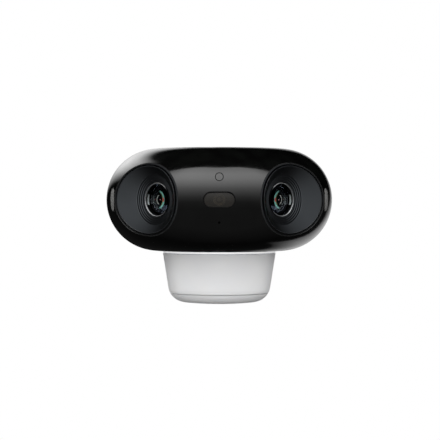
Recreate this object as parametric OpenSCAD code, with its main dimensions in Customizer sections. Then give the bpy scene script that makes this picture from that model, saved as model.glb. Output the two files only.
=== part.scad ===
// Two-lens security camera with spotlights, a motion sensor cup and a pan and tilt wall bracket.
// Millimetres. +Z up, the camera looks along -Y, and the wall is the plane y = 0.

/* [Head] */
// Width of the head, which is also the diameter of its round front
head_w = 120; // [100:1:144]
// Height of the head
head_h = 54; // [45:1:65]
// Wall of both shells
shell_t = 2.4; // [2:0.1:3]
// Rounding of the rear housing's back edge
rear_fillet = 4; // [3.2:0.1:4.8]
// Visible gap between the two shells
parting_gap = 0.6; // [0.5:0.05:0.8]

/* [Lenses] */
// Angle of each lens from straight ahead
lens_angle = 42.5; // [38:0.5:46]
// Half angle of the cone in front of each lens
cone_angle = 55; // [46:1:57]
// Depth of the cone below the round front
cone_depth = 10.8; // [9:0.1:13]
// Radius at the bottom of the cone
cone_base_r = 13; // [12:0.1:15.6]
// Wall of the conical bezel
bezel_t = 0.6; // [0.5:0.05:0.8]
// Outer radius of the lens barrel's head
barrel_r = 9; // [7.5:0.1:10.8]
// Length of the lens barrel
barrel_len = 21; // [17.5:0.1:25.2]

/* [Lights] */
// Width of the middle light window
window_w = 16; // [13.3:0.1:19.2]
// Height of the middle light window
window_h = 8; // [6.6:0.1:9.6]
// Width of each side light window
side_window_w = 6.8; // [5.6:0.1:8.2]
// Height of each side light window
side_window_h = 12.9; // [10.7:0.1:15.5]
// Radius of the status light
status_r = 1.8; // [1.5:0.1:2.1]
// Height of the status light above the middle, and of the microphone below it
status_z = 11.4; // [9.5:0.1:13.6]

/* [Motion sensor cup] */
// Diameter of the cup at its top
cup_d = 60; // [50:1:62]
// Height of the cup's side and corner
cup_h = 25.8; // [21.5:0.1:31]
// Draft angle of the cup's side
cup_draft = 9; // [7.5:0.5:10.5]
// Corner radius at the bottom of the cup
cup_corner = 9; // [7.5:0.5:10.5]
// Wall of the cup
cup_t = 1.8; // [1.5:0.1:2.2]
// Height of the white collar between head and cup
collar_h = 1; // [0.8:0.1:1.2]

/* [Power and controls] */
// Diameter of a battery cell
cell_d = 18.4; // [15.3:0.1:22.1]
// Radius of the button
button_r = 3.9; // [3.3:0.1:4.2]
// Travel of the button
button_travel = 0.8; // [0.6:0.1:0.9]
// Length of the port cover from its hinge
cover_len = 18; // [15:0.5:19]

/* [Bracket] */
// Diameter of the wall plate
plate_d = 56; // [50:1:67]
// Thickness of the wall plate
plate_t = 5; // [4.2:0.1:6]
// Radius of each wall screw hole
wall_hole_r = 2.2; // [1.9:0.1:2.6]
// Distance from the wall to the pan axis
pan_y = 26; // [22:0.5:31]
// Distance from the pan axis to the tilt axis
link_len = 18; // [17.6:0.1:21.6]
// Distance from the tilt axis to the camera's back
tilt_gap = 16; // [14:0.5:19.2]
// Radius of the pan and tilt bolts
bolt_r = 2.5; // [2.1:0.1:3]
// Thickness of an ear
ear_t = 4; // [3.3:0.1:4.8]

/* [Hidden] */
$fn = 96;

// Clearances
gap = 0.3;          // between pieces on different bodies
fit = 0.1;          // between pieces of one body that fit into each other
running = 0.05;     // radial clearance of a bolt in a moving bore
cut = 1;            // how far a cutter runs past the face it cuts
big = 300;          // larger than the whole object

// Head
head_r = head_w / 2;
half_h = head_h / 2;
side = head_r - half_h;                 // where the round ends begin
gasket_in = 0.5;                        // how far the gasket lies inside the outline
frame_t = 1.5;
boss_x = side + 8;
boss_z = half_h - 8;
boss_r = 4.2;
boss_len = 12;                          // of the front shell's screw bosses
screw_r = 1.5;
screw_len = 9;                          // of the screw in front of the parting plane
screw_head_r = 2.7;
screw_head_h = 2.4;
screw_seat = 16;                        // from the parting plane back to the screw's head

// Lens stack, as distances from the head's vertical axis along a lens axis
cone_d = head_r - cone_depth;
bezel_set = 0.3;                        // how far the bezel's rim lies below the front
rings = 4;                              // steps between cone and barrel
ring_d = 0.5;
ring_w = (cone_base_r - barrel_r - fit - 0.3) / rings;
barrel_front = cone_d - rings * ring_d - fit;
barrel_back = barrel_front - barrel_len;
barrel_head = 7;
thread_r = 6;
bezel_back = barrel_front - 4;
retainer_r = barrel_r - 0.35;
retainer_w = 0.5;
retainer_t = 0.6;
glass_r = retainer_r - retainer_w;
glass_edge = 0.8;
glass_sag = 2.3;
glass_seat = barrel_front - retainer_t - glass_sag - glass_edge;
inner_glass_r = 5;
inner_glass_sag = 1.2;
inner_seat = glass_seat - 5.4;
stop_r = 2;
stop_t = 0.6;
chassis_t = 1.5;
chassis_front = barrel_front - barrel_head - 0.2;
chassis_back = chassis_front - chassis_t;
chassis_w = 33;
chassis_h = 2 * (boss_z - boss_r - gap);
bezel_post_x = 13;
bezel_post_z = 11;
bezel_post_r = 2;
mount_side = 16;
mount_r = 8;
sensor_side = 8;
sensor_t = 1.4;
sensor_room = 11;                       // side of the free square over the image sensor
board_t = 1.2;
board_d = barrel_back - sensor_t - 1.8; // front face of a sensor board
sensor_board_w = 20;

// Where the cone breaks out through the round front
cone_tan = tan(cone_angle);
rim_c = cone_base_r + (bezel_t + fit) / cos(cone_angle) - cone_tan * cone_d;
rim_root = sqrt(head_r * head_r * (1 + cone_tan * cone_tan) - rim_c * rim_c);
rim_d = (rim_root - rim_c * cone_tan) / (1 + cone_tan * cone_tan);
rim_angle = acos(rim_d / head_r);

// Lights on the front
window_set = 0.35;                      // how far the windows lie below the front
window_t = 1.6;
ledge = 0.7;                            // width of the ledge behind the middle window
side_window_angle = lens_angle + rim_angle
    + asin((side_window_w / 2 + fit + 0.4) / head_r);
side_wall = 0.8;                        // wall of the side window's skirt
side_skirt = 8;
front_board_y = -(head_r - 14);
front_board_w = 2 * (bezel_back * sin(lens_angle)
    - (cone_base_r + bezel_t) * cos(lens_angle) - 3);
front_board_h = 32;
front_post_x = front_board_w / 2 - 4;
front_post_z = 12.5;
front_post_r = 1.8;
led_side = 3.5;
led_t = 1.2;
spot_r = 3.05;
spot_front = -(head_r - window_set - window_t - 0.3);
mic_r = 0.6;
mic_can = [3.8, 3, 1.1];
boot_r = 2.4;
status_groove = 0.35;

// Inside the rear housing, as depths behind the parting plane
main_board_y = 1.5;
main_board_t = 1.6;
main_board_w = 2 * side - 3;
main_board_h = 38;
shield_t = 2;
shield_w = 26;
shield_h = 20;
tray_y = 6;
tray_t = 1.4;
tray_w = 2 * side + 7;
tray_wall = 1.5;
leg_x = side + 1;
leg_z = 12;
leg_r = 1.8;
cell_len = 2 * side - 1;
cell_y = tray_y + tray_t + fit + cell_d / 2;
cell_z = cell_d / 2 + 0.4;
cell_back = cell_y + cell_d / 2;
insert_len = 7.6;
insert_r = 4.2;
stud_r = 3.1;
insert_boss_r = 6;
rear_depth = cell_back + 0.5 + insert_len;
inner_back = rear_depth - shell_t;
io_y = cell_back + 0.3;
io_t = 1;
io_h = 15;
speaker_x = -(side + 4);
speaker_r = 8;
speaker_t = 4.6;
speaker_wall = 1.2;
grille_pitch = 3;
grille_r = 0.7;
antenna = [side - 11, 9, 0.8];
antenna_x = side / 2 - 0.5;

// Cup, as heights from the head's middle
cup_r = cup_d / 2;
collar_z = -(half_h + collar_h);
seal_t = 0.5;
cup_top = collar_z - seal_t;
corner_z = cup_top - cup_h + cup_corner;
corner_x = cup_r - (cup_top - corner_z) * tan(cup_draft) - cup_corner / cos(cup_draft);
dome_r = 182;
dome_z = corner_z + sqrt(pow(dome_r - cup_corner, 2) - pow(corner_x, 2));
seam_z = cup_top - cup_h + 4.8;
seam_t = 0.3;
flange_w = 5;                           // of the flanges inside collar and cup
flange_h = 1.6;
motion_board_r = cup_r - 4;
motion_board_z = cup_top - flange_h;
post_r = 6.5;
can_r = 4.6;
can_len = 4.2;
can_z = motion_board_z - board_t - 8;
can_angle = 80;

// Bracket
tilt_y = pan_y + link_len;
head_y = tilt_y + tilt_gap + rear_depth;
ear_r = 8;
knuckle_r = ear_r - 0.5;
link_half = 7;                          // half the link's size along each bolt
neck_w = 9;
neck_h = 10;
ear_in = link_half + gap;
ear_out = ear_in + ear_t;
bolt_head_r = bolt_r * 1.8;
bolt_head_t = 3;
socket_r = bolt_r * 0.9;
foot_r = norm([ear_out, ear_r]) + 0.4;
foot_t = 4;
screw_circle_r = plate_d / 2 - 7;
sink_r = wall_hole_r * 2;
plate_edge = 1.5;

// Button and port, on the camera's back
button_flange_r = 5;
button_flange_t = 1.2;
button_out = 0.7;
switch_side = 6;
plunger_r = 1.5;
plunger_t = 0.5;
switch_t = inner_back - io_y - io_t - 2 * gap - button_flange_t - button_travel - plunger_t;
cover_h = 9;
cover_t = 1.6;
hinge_r = 1.1;
pin_r = 0.5;
hinge_x = max(side - 1, foot_r + 2 * (button_r + gap) + hinge_r + gap + 1);
button_x = (foot_r + hinge_x - hinge_r - gap) / 2;
hinge_y = rear_depth - hinge_r;
port_x = hinge_x + cover_len / 2;
io_x0 = button_x - 6;
io_x1 = port_x + 11;
io_post_x = port_x - 9;
recess = 2 * hinge_r + 0.4;
pad_t = recess - shell_t + 1.4;
usb_w = 9;
usb_h = 3.3;
usb_wall = 0.35;
usb_tongue = 0.7;

// ---------- shapes used by several pieces ----------

// Moves the head's own frame to its place in front of the wall.
module in_head() {
    translate([0, -head_y, 0]) children();
}

// Round front half of the head with a fully rounded rim, drawn inside the outer face.
module front_half(inset) {
    h = half_h - inset;
    rotate([0, 0, 180]) rotate_extrude(angle = 180) intersection() {
        union() {
            translate([side, 0]) circle(r = h);
            translate([0, -h]) square([side, 2 * h]);
        }
        translate([0, -big / 2]) square(big);
    }
}

// Lying pill outline around the middle.
module pill(w, h) {
    translate([-(w - h) / 2, -h / 2]) square([w - h, h]);
    for (s = [-1, 1]) translate([s * (w - h) / 2, 0]) circle(d = h);
}

// Pill drawn along Y from y0 to y1.
module pill_bar(w, h, y0, y1) {
    translate([0, y1, 0]) rotate([90, 0, 0]) linear_extrude(height = y1 - y0) pill(w, h);
}

// The head's outline drawn along Y from y0 to y1, inside the outer face.
module head_bar(inset, y0, y1) {
    pill_bar(head_w - 2 * inset, head_h - 2 * inset, y0, y1);
}

// Half height against depth of the rear housing, with its rounded back corner.
module back_section(inset) {
    h = half_h - inset;
    depth = rear_depth - inset;
    f = rear_fillet > inset + 0.5 ? rear_fillet - inset : 0.5;
    square([h, depth - f]);
    square([h - f, depth]);
    translate([h - f, depth - f]) circle(r = f);
}

// Rear half of the head, drawn inside the outer face.
module back_half(inset) {
    for (s = [0, 1]) mirror([0, 0, s]) translate([side, 0, 0]) rotate([0, -90, 0])
        linear_extrude(height = 2 * side) back_section(inset);
    for (s = [-1, 1]) translate([s * side, 0, 0]) rotate([-90, 0, 0]) rotate([0, 0, s * -90])
        rotate_extrude(angle = 180) back_section(inset);
}

// Puts children on a lens axis: X across, Y up, Z outwards from the head's vertical axis.
module on_lens(s) {
    in_head() rotate([0, 0, s * lens_angle]) rotate([90, 0, 0]) children();
}

// Puts children on the axis of a side window in the same way.
module on_side(s) {
    rotate([0, 0, s * side_window_angle]) rotate([90, 0, 0]) children();
}

// Cone in front of a lens, widened by a wall and started below its base.
module lens_cone(wall, low) {
    r = cone_base_r + wall / cos(cone_angle);
    run = cone_depth + cut;
    translate([0, 0, cone_d - low])
        cylinder(r1 = r - low * cone_tan, r2 = r + run * cone_tan, h = low + run);
}

// Spherical cap on the plane z = 0.
module dome(r, sag) {
    ball = (r * r + sag * sag) / (2 * sag);
    intersection() {
        translate([0, 0, sag - ball]) sphere(r = ball);
        cylinder(r = r, h = sag + cut);
    }
}

// Tube between two radii.
module tube(r_out, r_in, h) {
    difference() {
        cylinder(r = r_out, h = h);
        translate([0, 0, -cut]) cylinder(r = r_in, h = h + 2 * cut);
    }
}

// Places children on the four housing screws: Z points backwards from the parting plane.
module at_screws() {
    for (x = [-1, 1], z = [-1, 1]) translate([x * boss_x, 0, z * boss_z])
        rotate([-90, 0, 0]) children();
}

// Places children on the camera's back: Z points backwards from the parting plane.
module at_back(x) {
    translate([x, 0, 0]) rotate([-90, 0, 0]) children();
}

// ---------- shells and frame ----------

module front_shell() {
    color("#08090a") in_head() difference() {
        union() {
            difference() {
                front_half(0);
                front_half(shell_t);
            }
            intersection() {
                union() {
                    at_screws() translate([0, 0, -boss_len])
                        cylinder(r = boss_r, h = boss_len - frame_t);
                    for (x = [-1, 1], z = [-1, 1])
                        translate([x * front_post_x, front_board_y, z * front_post_z])
                        rotate([90, 0, 0]) cylinder(r = front_post_r, h = 14);
                }
                front_half(shell_t / 2);
            }
        }
        for (s = [-1, 1]) {
            translate([0, head_y, 0]) on_lens(s) lens_cone(bezel_t + fit, cut);
            on_side(s) translate([0, 0, head_r - side_skirt])
                linear_extrude(height = side_skirt + cut) rotate(90)
                pill(side_window_h + 2 * fit, side_window_w + 2 * fit);
        }
        difference() {
            pill_bar(window_w + 2 * fit, window_h + 2 * fit, -head_r - cut, -head_r + 5);
            front_half(window_set + window_t);
        }
        pill_bar(window_w - 2 * ledge, window_h - 2 * ledge, -head_r - cut, -head_r + 5);
        translate([0, 0, status_z]) rotate([90, 0, 0])
            cylinder(r = status_r + status_groove, h = head_r + cut);
        translate([0, 0, -status_z]) rotate([90, 0, 0]) cylinder(r = mic_r, h = head_r + cut);
        at_screws() translate([0, 0, -screw_len - cut]) cylinder(r = screw_r + fit, h = big);
        cup_hole();
    }
}

// Round hole under the head for the cup's collar.
module cup_hole() {
    translate([0, 0, -big - half_h + shell_t + 0.5]) cylinder(r = cup_r + fit, h = big);
}

module rear_housing() {
    color("#e4e5e6") in_head() difference() {
        union() {
            difference() {
                back_half(0);
                back_half(shell_t);
            }
            intersection() {
                union() {
                    at_screws() cylinder(r = boss_r, h = rear_depth);
                    at_back(0) translate([0, 0, rear_depth - insert_len])
                        cylinder(r = insert_boss_r, h = insert_len);
                    at_back(speaker_x) translate([0, 0, inner_back - speaker_t + 0.6])
                        cylinder(r = speaker_r + fit + speaker_wall, h = speaker_t);
                    for (z = [-1, 1]) translate([io_post_x, 0, z * io_h * 0.36])
                        at_back(0) translate([0, 0, io_y + io_t])
                        cylinder(r = 1.4, h = inner_back - io_y);
                    translate([port_x, 0, 0])
                        pill_bar(cover_len + 8, cover_h + 5, inner_back - pad_t, rear_depth);
                }
                back_half(shell_t / 2);
            }
        }
        gasket_room();
        at_screws() translate([0, 0, -cut]) cylinder(r = screw_r + fit, h = big);
        at_screws() translate([0, 0, screw_seat])
            cylinder(r = screw_head_r + gap, h = big);
        at_back(0) translate([0, 0, rear_depth - insert_len - cut])
            cylinder(r = insert_r + fit / 2, h = big);
        at_back(button_x) cylinder(r = button_r + gap, h = big);
        at_back(button_x) cylinder(r = button_flange_r + gap, h = inner_back);
        at_back(speaker_x) cylinder(r = speaker_r + fit, h = inner_back);
        grille();
        cover_recess();
        translate([port_x, 0, 0])
            pill_bar(usb_w + 0.5, usb_h + 0.5, inner_back - pad_t - cut, rear_depth);
        cup_hole();
    }
}

// Small sound holes on a hexagonal grid in front of the speaker.
module grille() {
    for (i = [-2:2], j = [-2:2]) {
        x = grille_pitch * (i + j / 2);
        z = grille_pitch * j * sqrt(3) / 2;
        if (norm([x, z]) < grille_pitch * 2.1) translate([speaker_x + x, 0, z])
            rotate([-90, 0, 0]) cylinder(r = grille_r, h = big, $fn = 24);
    }
}

// Recess and pin bore of the port cover.
module cover_recess() {
    y0 = rear_depth - recess;
    translate([hinge_x - hinge_r - gap, y0, -cover_h / 2 - gap])
        cube([cover_len - cover_h / 2 + hinge_r + gap, recess + cut, cover_h + 2 * gap]);
    translate([hinge_x + cover_len - cover_h / 2, y0, 0]) rotate([-90, 0, 0])
        cylinder(r = cover_h / 2 + gap, h = recess + cut);
    translate([hinge_x, hinge_y, 0])
        cylinder(r = pin_r, h = cover_h + 4, center = true);
}

// Slot between the two shells, open to the outside.
module gasket_room() {
    difference() {
        head_bar(-cut, -cut, parting_gap);
        head_bar(shell_t, -2 * cut, parting_gap + cut);
    }
}

module parting_gasket() {
    color("#1a1a1b") in_head() difference() {
        head_bar(gasket_in, 0, parting_gap);
        head_bar(shell_t, -cut, parting_gap + cut);
        cup_hole();
    }
}

module mid_frame() {
    color("#9a9c9e") in_head() difference() {
        union() {
            head_bar(shell_t + fit, -frame_t, 0);
            for (x = [-1, 1], z = [-1, 1])
                translate([x * main_board_w * 0.43, 0, z * leg_z]) rotate([-90, 0, 0])
                cylinder(r = 2, h = main_board_y);
        }
        pill_bar(side * 1.2, half_h * 0.6, -frame_t - cut, cut);
        at_screws() translate([0, 0, -frame_t - cut])
            cylinder(r = screw_r + fit, h = frame_t + 2 * cut);
    }
}

module housing_screws() {
    color("#b9bbbd") in_head() at_screws() difference() {
        union() {
            translate([0, 0, -screw_len]) cylinder(r = screw_r, h = screw_len + screw_seat);
            translate([0, 0, screw_seat]) cylinder(r = screw_head_r, h = screw_head_h);
        }
        translate([0, 0, screw_seat + screw_head_h - 1.4]) cylinder(r = 1.2, h = 2, $fn = 6);
    }
}

// Bent plate that carries both lens mounts.
module chassis() {
    inner_x = chassis_front * sin(lens_angle) - chassis_w / 2 * cos(lens_angle);
    inner_y = chassis_front * cos(lens_angle) + chassis_w / 2 * sin(lens_angle);
    color("#a4a7a9") {
        for (s = [-1, 1]) on_lens(s) difference() {
            translate([-chassis_w / 2, -chassis_h / 2, chassis_back])
                cube([chassis_w, chassis_h, chassis_t]);
            translate([0, 0, chassis_back - cut])
                cylinder(r = thread_r + 1, h = chassis_t + 2 * cut);
        }
        in_head() translate([-inner_x - 1, -inner_y, -chassis_h / 2])
            cube([2 * inner_x + 2, chassis_t, chassis_h]);
    }
}

// ---------- lenses ----------

module lens_bezel(s) {
    color("#45474a") difference() {
        intersection() {
            union() {
                on_lens(s) lens_cone(bezel_t, cut);
                on_lens(s) translate([0, 0, bezel_back])
                    cylinder(r = cone_base_r + bezel_t, h = cone_d - bezel_back);
                for (x = [-1, 1], y = [-1, 1]) on_lens(s)
                    translate([x * bezel_post_x, y * bezel_post_z, chassis_front])
                    cylinder(r = bezel_post_r, h = cone_d + 2.4 - chassis_front);
            }
            in_head() front_half(bezel_set);
        }
        on_lens(s) lens_cone(0, 0);
        for (i = [0:rings - 1]) on_lens(s) translate([0, 0, cone_d - (i + 1) * ring_d])
            cylinder(r = cone_base_r - i * ring_w, h = (i + 1) * ring_d + cut);
        on_lens(s) translate([0, 0, bezel_back - cut]) cylinder(r = barrel_r + fit, h = 20);
    }
}
module lens_bezel_left() { lens_bezel(-1); }
module lens_bezel_right() { lens_bezel(1); }

module lens_barrel(s) {
    color("#101113") on_lens(s) difference() {
        union() {
            translate([0, 0, barrel_front - barrel_head])
                cylinder(r = barrel_r, h = barrel_head);
            translate([0, 0, barrel_back]) cylinder(r = thread_r, h = barrel_len - cut);
        }
        translate([0, 0, barrel_front - retainer_t])
            cylinder(r = retainer_r + fit / 2, h = retainer_t + cut);
        translate([0, 0, glass_seat]) cylinder(r = glass_r + fit / 2, h = barrel_len);
        translate([0, 0, inner_seat]) cylinder(r = inner_glass_r + fit / 2, h = barrel_len);
        translate([0, 0, barrel_back - cut])
            cylinder(r = thread_r - 1.6, h = inner_seat - stop_t - barrel_back + cut);
        translate([0, 0, barrel_back - cut]) cylinder(r = stop_r, h = barrel_len);
    }
}
module lens_barrel_left() { lens_barrel(-1); }
module lens_barrel_right() { lens_barrel(1); }

module lens_retainer(s) {
    color("#c9ccce") on_lens(s) translate([0, 0, barrel_front - retainer_t])
        tube(retainer_r, retainer_r - retainer_w + fit, retainer_t + fit);
}
module lens_retainer_left() { lens_retainer(-1); }
module lens_retainer_right() { lens_retainer(1); }

module front_element(s) {
    hollow_r = glass_r * 0.8;
    hollow_sag = glass_sag * 0.8;
    color("#232f33") on_lens(s) translate([0, 0, glass_seat]) difference() {
        union() {
            cylinder(r = glass_r, h = glass_edge);
            translate([0, 0, glass_edge]) dome(glass_r, glass_sag);
        }
        translate([0, 0, -cut]) cylinder(r = hollow_r, h = cut);
        dome(hollow_r, hollow_sag);
    }
}
module front_element_left() { front_element(-1); }
module front_element_right() { front_element(1); }

module rear_element(s) {
    color("#2c3a3c") on_lens(s) translate([0, 0, inner_seat]) {
        cylinder(r = inner_glass_r, h = 1.4);
        translate([0, 0, 1.4]) dome(inner_glass_r, inner_glass_sag);
    }
}
module rear_element_left() { rear_element(-1); }
module rear_element_right() { rear_element(1); }

module lens_mount(s) {
    color("#1b1c1e") on_lens(s) difference() {
        union() {
            translate([-mount_side / 2, -mount_side / 2, board_d])
                cube([mount_side, mount_side, barrel_back - board_d]);
            translate([0, 0, board_d]) cylinder(r = mount_r, h = chassis_back - board_d);
        }
        translate([0, 0, board_d]) cylinder(r = thread_r + fit, h = barrel_len + 10);
        translate([-sensor_room / 2, -sensor_room / 2, board_d - cut])
            cube([sensor_room, sensor_room, sensor_t + 1 + cut]);
    }
}
module lens_mount_left() { lens_mount(-1); }
module lens_mount_right() { lens_mount(1); }

module image_sensor(s) {
    color("#3b4048") on_lens(s) translate([-sensor_side / 2, -sensor_side / 2, board_d])
        cube([sensor_side, sensor_side, sensor_t]);
}
module image_sensor_left() { image_sensor(-1); }
module image_sensor_right() { image_sensor(1); }

module sensor_board(s) {
    w = sensor_board_w;
    color("#17402c") on_lens(s) difference() {
        translate([-w / 2, -w / 2, board_d - board_t]) cube([w, w, board_t]);
        for (x = [-1, 1], y = [-1, 1])
            translate([x * w * 0.44, y * w * 0.44, board_d - board_t - cut])
            cylinder(r = 0.7, h = board_t + 2 * cut);
    }
}
module sensor_board_left() { sensor_board(-1); }
module sensor_board_right() { sensor_board(1); }

// ---------- lights, microphone and front board ----------

module light_window() {
    color("#252424") in_head() intersection() {
        pill_bar(window_w, window_h, -head_r - cut, -head_r + 5);
        difference() {
            front_half(window_set);
            front_half(window_set + window_t);
        }
    }
}

module spotlight_lens() {
    back = front_board_y - led_t - fit;
    color("#b5aa86") in_head() translate([0, back, 0]) rotate([90, 0, 0])
        cylinder(r1 = spot_r * 0.7, r2 = spot_r, h = back - spot_front);
}

module spotlight_led() {
    color("#e6dc9a") in_head() translate([-led_side / 2, front_board_y - led_t, -led_side / 2])
        cube([led_side, led_t, led_side]);
}

module front_board() {
    color("#17402c") in_head() difference() {
        translate([-front_board_w / 2, front_board_y, -front_board_h / 2])
            cube([front_board_w, board_t, front_board_h]);
        for (x = [-1, 1], z = [-1, 1])
            translate([x * front_post_x, front_board_y - cut, z * front_post_z])
            rotate([-90, 0, 0]) cylinder(r = 0.8, h = board_t + 2 * cut);
    }
}

module status_light_pipe() {
    color("#0d0e0f") in_head() intersection() {
        translate([0, front_board_y, status_z]) rotate([90, 0, 0])
            cylinder(r = status_r, h = head_r);
        front_half(0.05);
    }
}

module microphone() {
    color("#c2b280") in_head()
        translate([-mic_can[0] / 2, front_board_y - mic_can[2], -status_z - mic_can[1] / 2])
        cube([mic_can[0], mic_can[2], mic_can[1]]);
}

module microphone_boot() {
    color("#161617") in_head() intersection() {
        translate([0, front_board_y - mic_can[2], -status_z]) rotate([90, 0, 0])
            tube(boot_r, mic_r, 20);
        front_half(shell_t + fit / 2);
    }
}

// Diffuser with a skirt that reaches back to its light board.
module side_window(s) {
    color("#6c6b6b") in_head() difference() {
        intersection() {
            on_side(s) translate([0, 0, head_r - side_skirt])
                linear_extrude(height = side_skirt + cut) rotate(90)
                pill(side_window_h, side_window_w);
            front_half(window_set);
        }
        intersection() {
            on_side(s) translate([0, 0, head_r - side_skirt - cut])
                linear_extrude(height = side_skirt + 2 * cut) rotate(90)
                pill(side_window_h - 2 * side_wall, side_window_w - 2 * side_wall);
            front_half(window_set + window_t);
        }
    }
}
module side_window_left() { side_window(-1); }
module side_window_right() { side_window(1); }

module side_light(s) {
    color("#e9e7dc") in_head() on_side(s) translate([0, 0, head_r - side_skirt - board_t]) {
        linear_extrude(height = board_t) rotate(90) pill(side_window_h + 1, side_window_w + 1);
        for (y = [-1, 1]) translate([-led_side / 2, y * side_window_h * 0.2 - led_side / 2, 0])
            cube([led_side, led_side, board_t + led_t]);
    }
}
module side_light_left() { side_light(-1); }
module side_light_right() { side_light(1); }

// ---------- inside the rear housing ----------

module main_board() {
    color("#17402c") in_head() translate([-main_board_w / 2, main_board_y, -main_board_h / 2])
        cube([main_board_w, main_board_t, main_board_h]);
}

module processor_shield() {
    color("#c5c8ca") in_head()
        translate([-shield_w / 2, main_board_y + main_board_t, -shield_h / 2])
        cube([shield_w, shield_t, shield_h]);
}

module battery_cells() {
    color("#3f6ea8") in_head() for (z = [-1, 1]) translate([0, cell_y, z * cell_z])
        rotate([0, 90, 0]) cylinder(r = cell_d / 2, h = cell_len, center = true);
}

module battery_tray() {
    h = 4 * cell_z;
    color("#2b2c2e") in_head() {
        translate([-tray_w / 2, tray_y, -h / 2]) cube([tray_w, tray_t, h]);
        for (s = [-1, 1]) translate([s * (cell_len / 2 + fit + tray_wall / 2), 0, 0])
            translate([-tray_wall / 2, tray_y, -h / 2]) cube([tray_wall, cell_d * 0.7, h]);
        for (x = [-1, 1], z = [-1, 1]) translate([x * leg_x, 0, z * leg_z])
            rotate([-90, 0, 0]) cylinder(r = leg_r, h = tray_y + tray_t);
    }
}

module antennas() {
    color("#b08d4a") in_head() for (s = [-1, 1])
        translate([s * antenna_x - antenna[0] / 2, tray_y, half_h - shell_t - antenna[2]])
        cube([antenna[0], antenna[1], antenna[2]]);
}

module speaker() {
    color("#2a2a2c") in_head() at_back(speaker_x) translate([0, 0, inner_back - speaker_t])
        difference() {
            cylinder(r = speaker_r, h = speaker_t);
            translate([0, 0, speaker_t - 1]) cylinder(r = speaker_r - 1.4, h = 2);
        }
}

module io_board() {
    color("#17402c") in_head() translate([io_x0, io_y, -io_h / 2])
        cube([io_x1 - io_x0, io_t, io_h]);
}

module usb_socket() {
    front = rear_depth - recess - 0.2;
    back = io_y + io_t;
    color("#b4b7ba") in_head() translate([port_x, 0, 0]) {
        difference() {
            pill_bar(usb_w, usb_h, back, front);
            pill_bar(usb_w - 2 * usb_wall, usb_h - 2 * usb_wall, back + 0.8, front + cut);
        }
        translate([-usb_w * 0.37, back + 0.5, -usb_tongue / 2])
            cube([usb_w * 0.74, front - back - 1, usb_tongue]);
    }
}

module button_switch() {
    color("#202123") in_head() at_back(button_x) translate([0, 0, io_y + io_t]) {
        translate([-switch_side / 2, -switch_side / 2, 0])
            cube([switch_side, switch_side, switch_t]);
        cylinder(r = plunger_r, h = switch_t + plunger_t);
    }
}

module sync_button() {
    color("#c9cbcc") in_head() at_back(button_x) {
        translate([0, 0, inner_back - gap - button_flange_t])
            cylinder(r = button_flange_r, h = button_flange_t);
        translate([0, 0, inner_back - gap - button_flange_t])
            cylinder(r = button_r, h = shell_t + gap + button_flange_t + button_out);
    }
}

// Flap that closes the charging port, with its hinge barrel.
module port_cover() {
    color("#d5d7d8") in_head() difference() {
        union() {
            translate([hinge_x, rear_depth - cover_t, -cover_h / 2])
                cube([cover_len - cover_h / 2, cover_t, cover_h]);
            translate([hinge_x + cover_len - cover_h / 2, rear_depth - cover_t, 0])
                rotate([-90, 0, 0]) cylinder(r = cover_h / 2, h = cover_t);
            translate([hinge_x, hinge_y, 0]) cylinder(r = hinge_r, h = cover_h, center = true);
        }
        translate([hinge_x, hinge_y, 0])
            cylinder(r = pin_r + running, h = cover_h + 2 * cut, center = true);
    }
}

module cover_pin() {
    color("#b9bbbd") in_head() translate([hinge_x, hinge_y, 0])
        cylinder(r = pin_r, h = cover_h + 4, center = true);
}

// ---------- motion sensor cup ----------

// Half section of the cup, drawn inside its outer face.
module cup_section(inset) {
    r = cup_corner - inset;
    top_r = cup_r - inset / cos(cup_draft);
    fall = 1.2;                         // how far the wedge runs past the dome
    polygon([[0, cup_top], [top_r, cup_top],
        [corner_x + r * cos(cup_draft), corner_z - r * sin(cup_draft)],
        [corner_x, corner_z], [0, corner_z]]);
    translate([corner_x, corner_z]) circle(r = r);
    intersection() {
        translate([0, dome_z]) circle(r = dome_r - inset, $fn = 360);
        polygon([[0, corner_z], [corner_x, corner_z],
            [corner_x * fall, dome_z - (dome_z - corner_z) * fall], [0, dome_z - dome_r - 5]]);
    }
}

// Wall of the cup between two insets and two heights.
module cup_wall(outer, inner, z0, z1) {
    rotate_extrude() intersection() {
        difference() {
            cup_section(outer);
            cup_section(inner);
        }
        translate([0, z0]) square([cup_r + cut, z1 - z0]);
    }
}

module cup_collar() {
    color("#dfe0e1") in_head() difference() {
        translate([0, 0, collar_z]) cylinder(r = cup_r, h = collar_h + shell_t);
        translate([0, 0, collar_z - cut])
            cylinder(r = cup_r - flange_w, h = collar_h + shell_t + 2 * cut);
    }
}

module cup_seal() {
    color("#5c5f61") in_head() translate([0, 0, cup_top])
        tube(cup_r - 0.7, cup_r - flange_w, seal_t);
}

module motion_lens() {
    color("#e9ebec") in_head() {
        cup_wall(0, cup_t, seam_z + seam_t / 2, cup_top);
        translate([0, 0, cup_top - flange_h]) tube(cup_r - cup_t / 2 - 0.4, cup_r - flange_w, flange_h);
    }
}

module motion_cap() {
    color("#e9ebec") in_head() {
        cup_wall(0, cup_t, -big, seam_z - seam_t / 2);
        cup_wall(cup_t + fit, 2 * cup_t, seam_z - 1.5, seam_z + 1.5);
        cup_wall(cup_t - 0.6, 2 * cup_t, seam_z - 1.5, seam_z - seam_t / 2);
    }
}

module motion_board() {
    color("#17402c") in_head() translate([0, 0, motion_board_z - board_t])
        tube(motion_board_r, 3, board_t);
}

module sensor_post() {
    color("#2b2c2e") in_head() translate([0, 0, can_z - can_r - 1])
        cylinder(r = post_r, h = motion_board_z - board_t - can_z + can_r + 1);
}

module motion_sensors() {
    color("#b9bcbf") in_head() for (a = [-1:1]) rotate([0, 0, a * can_angle])
        translate([0, 0, can_z]) rotate([90, 0, 0]) translate([0, 0, post_r + fit])
        cylinder(r = can_r, h = can_len);
}

// ---------- bracket ----------

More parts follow.
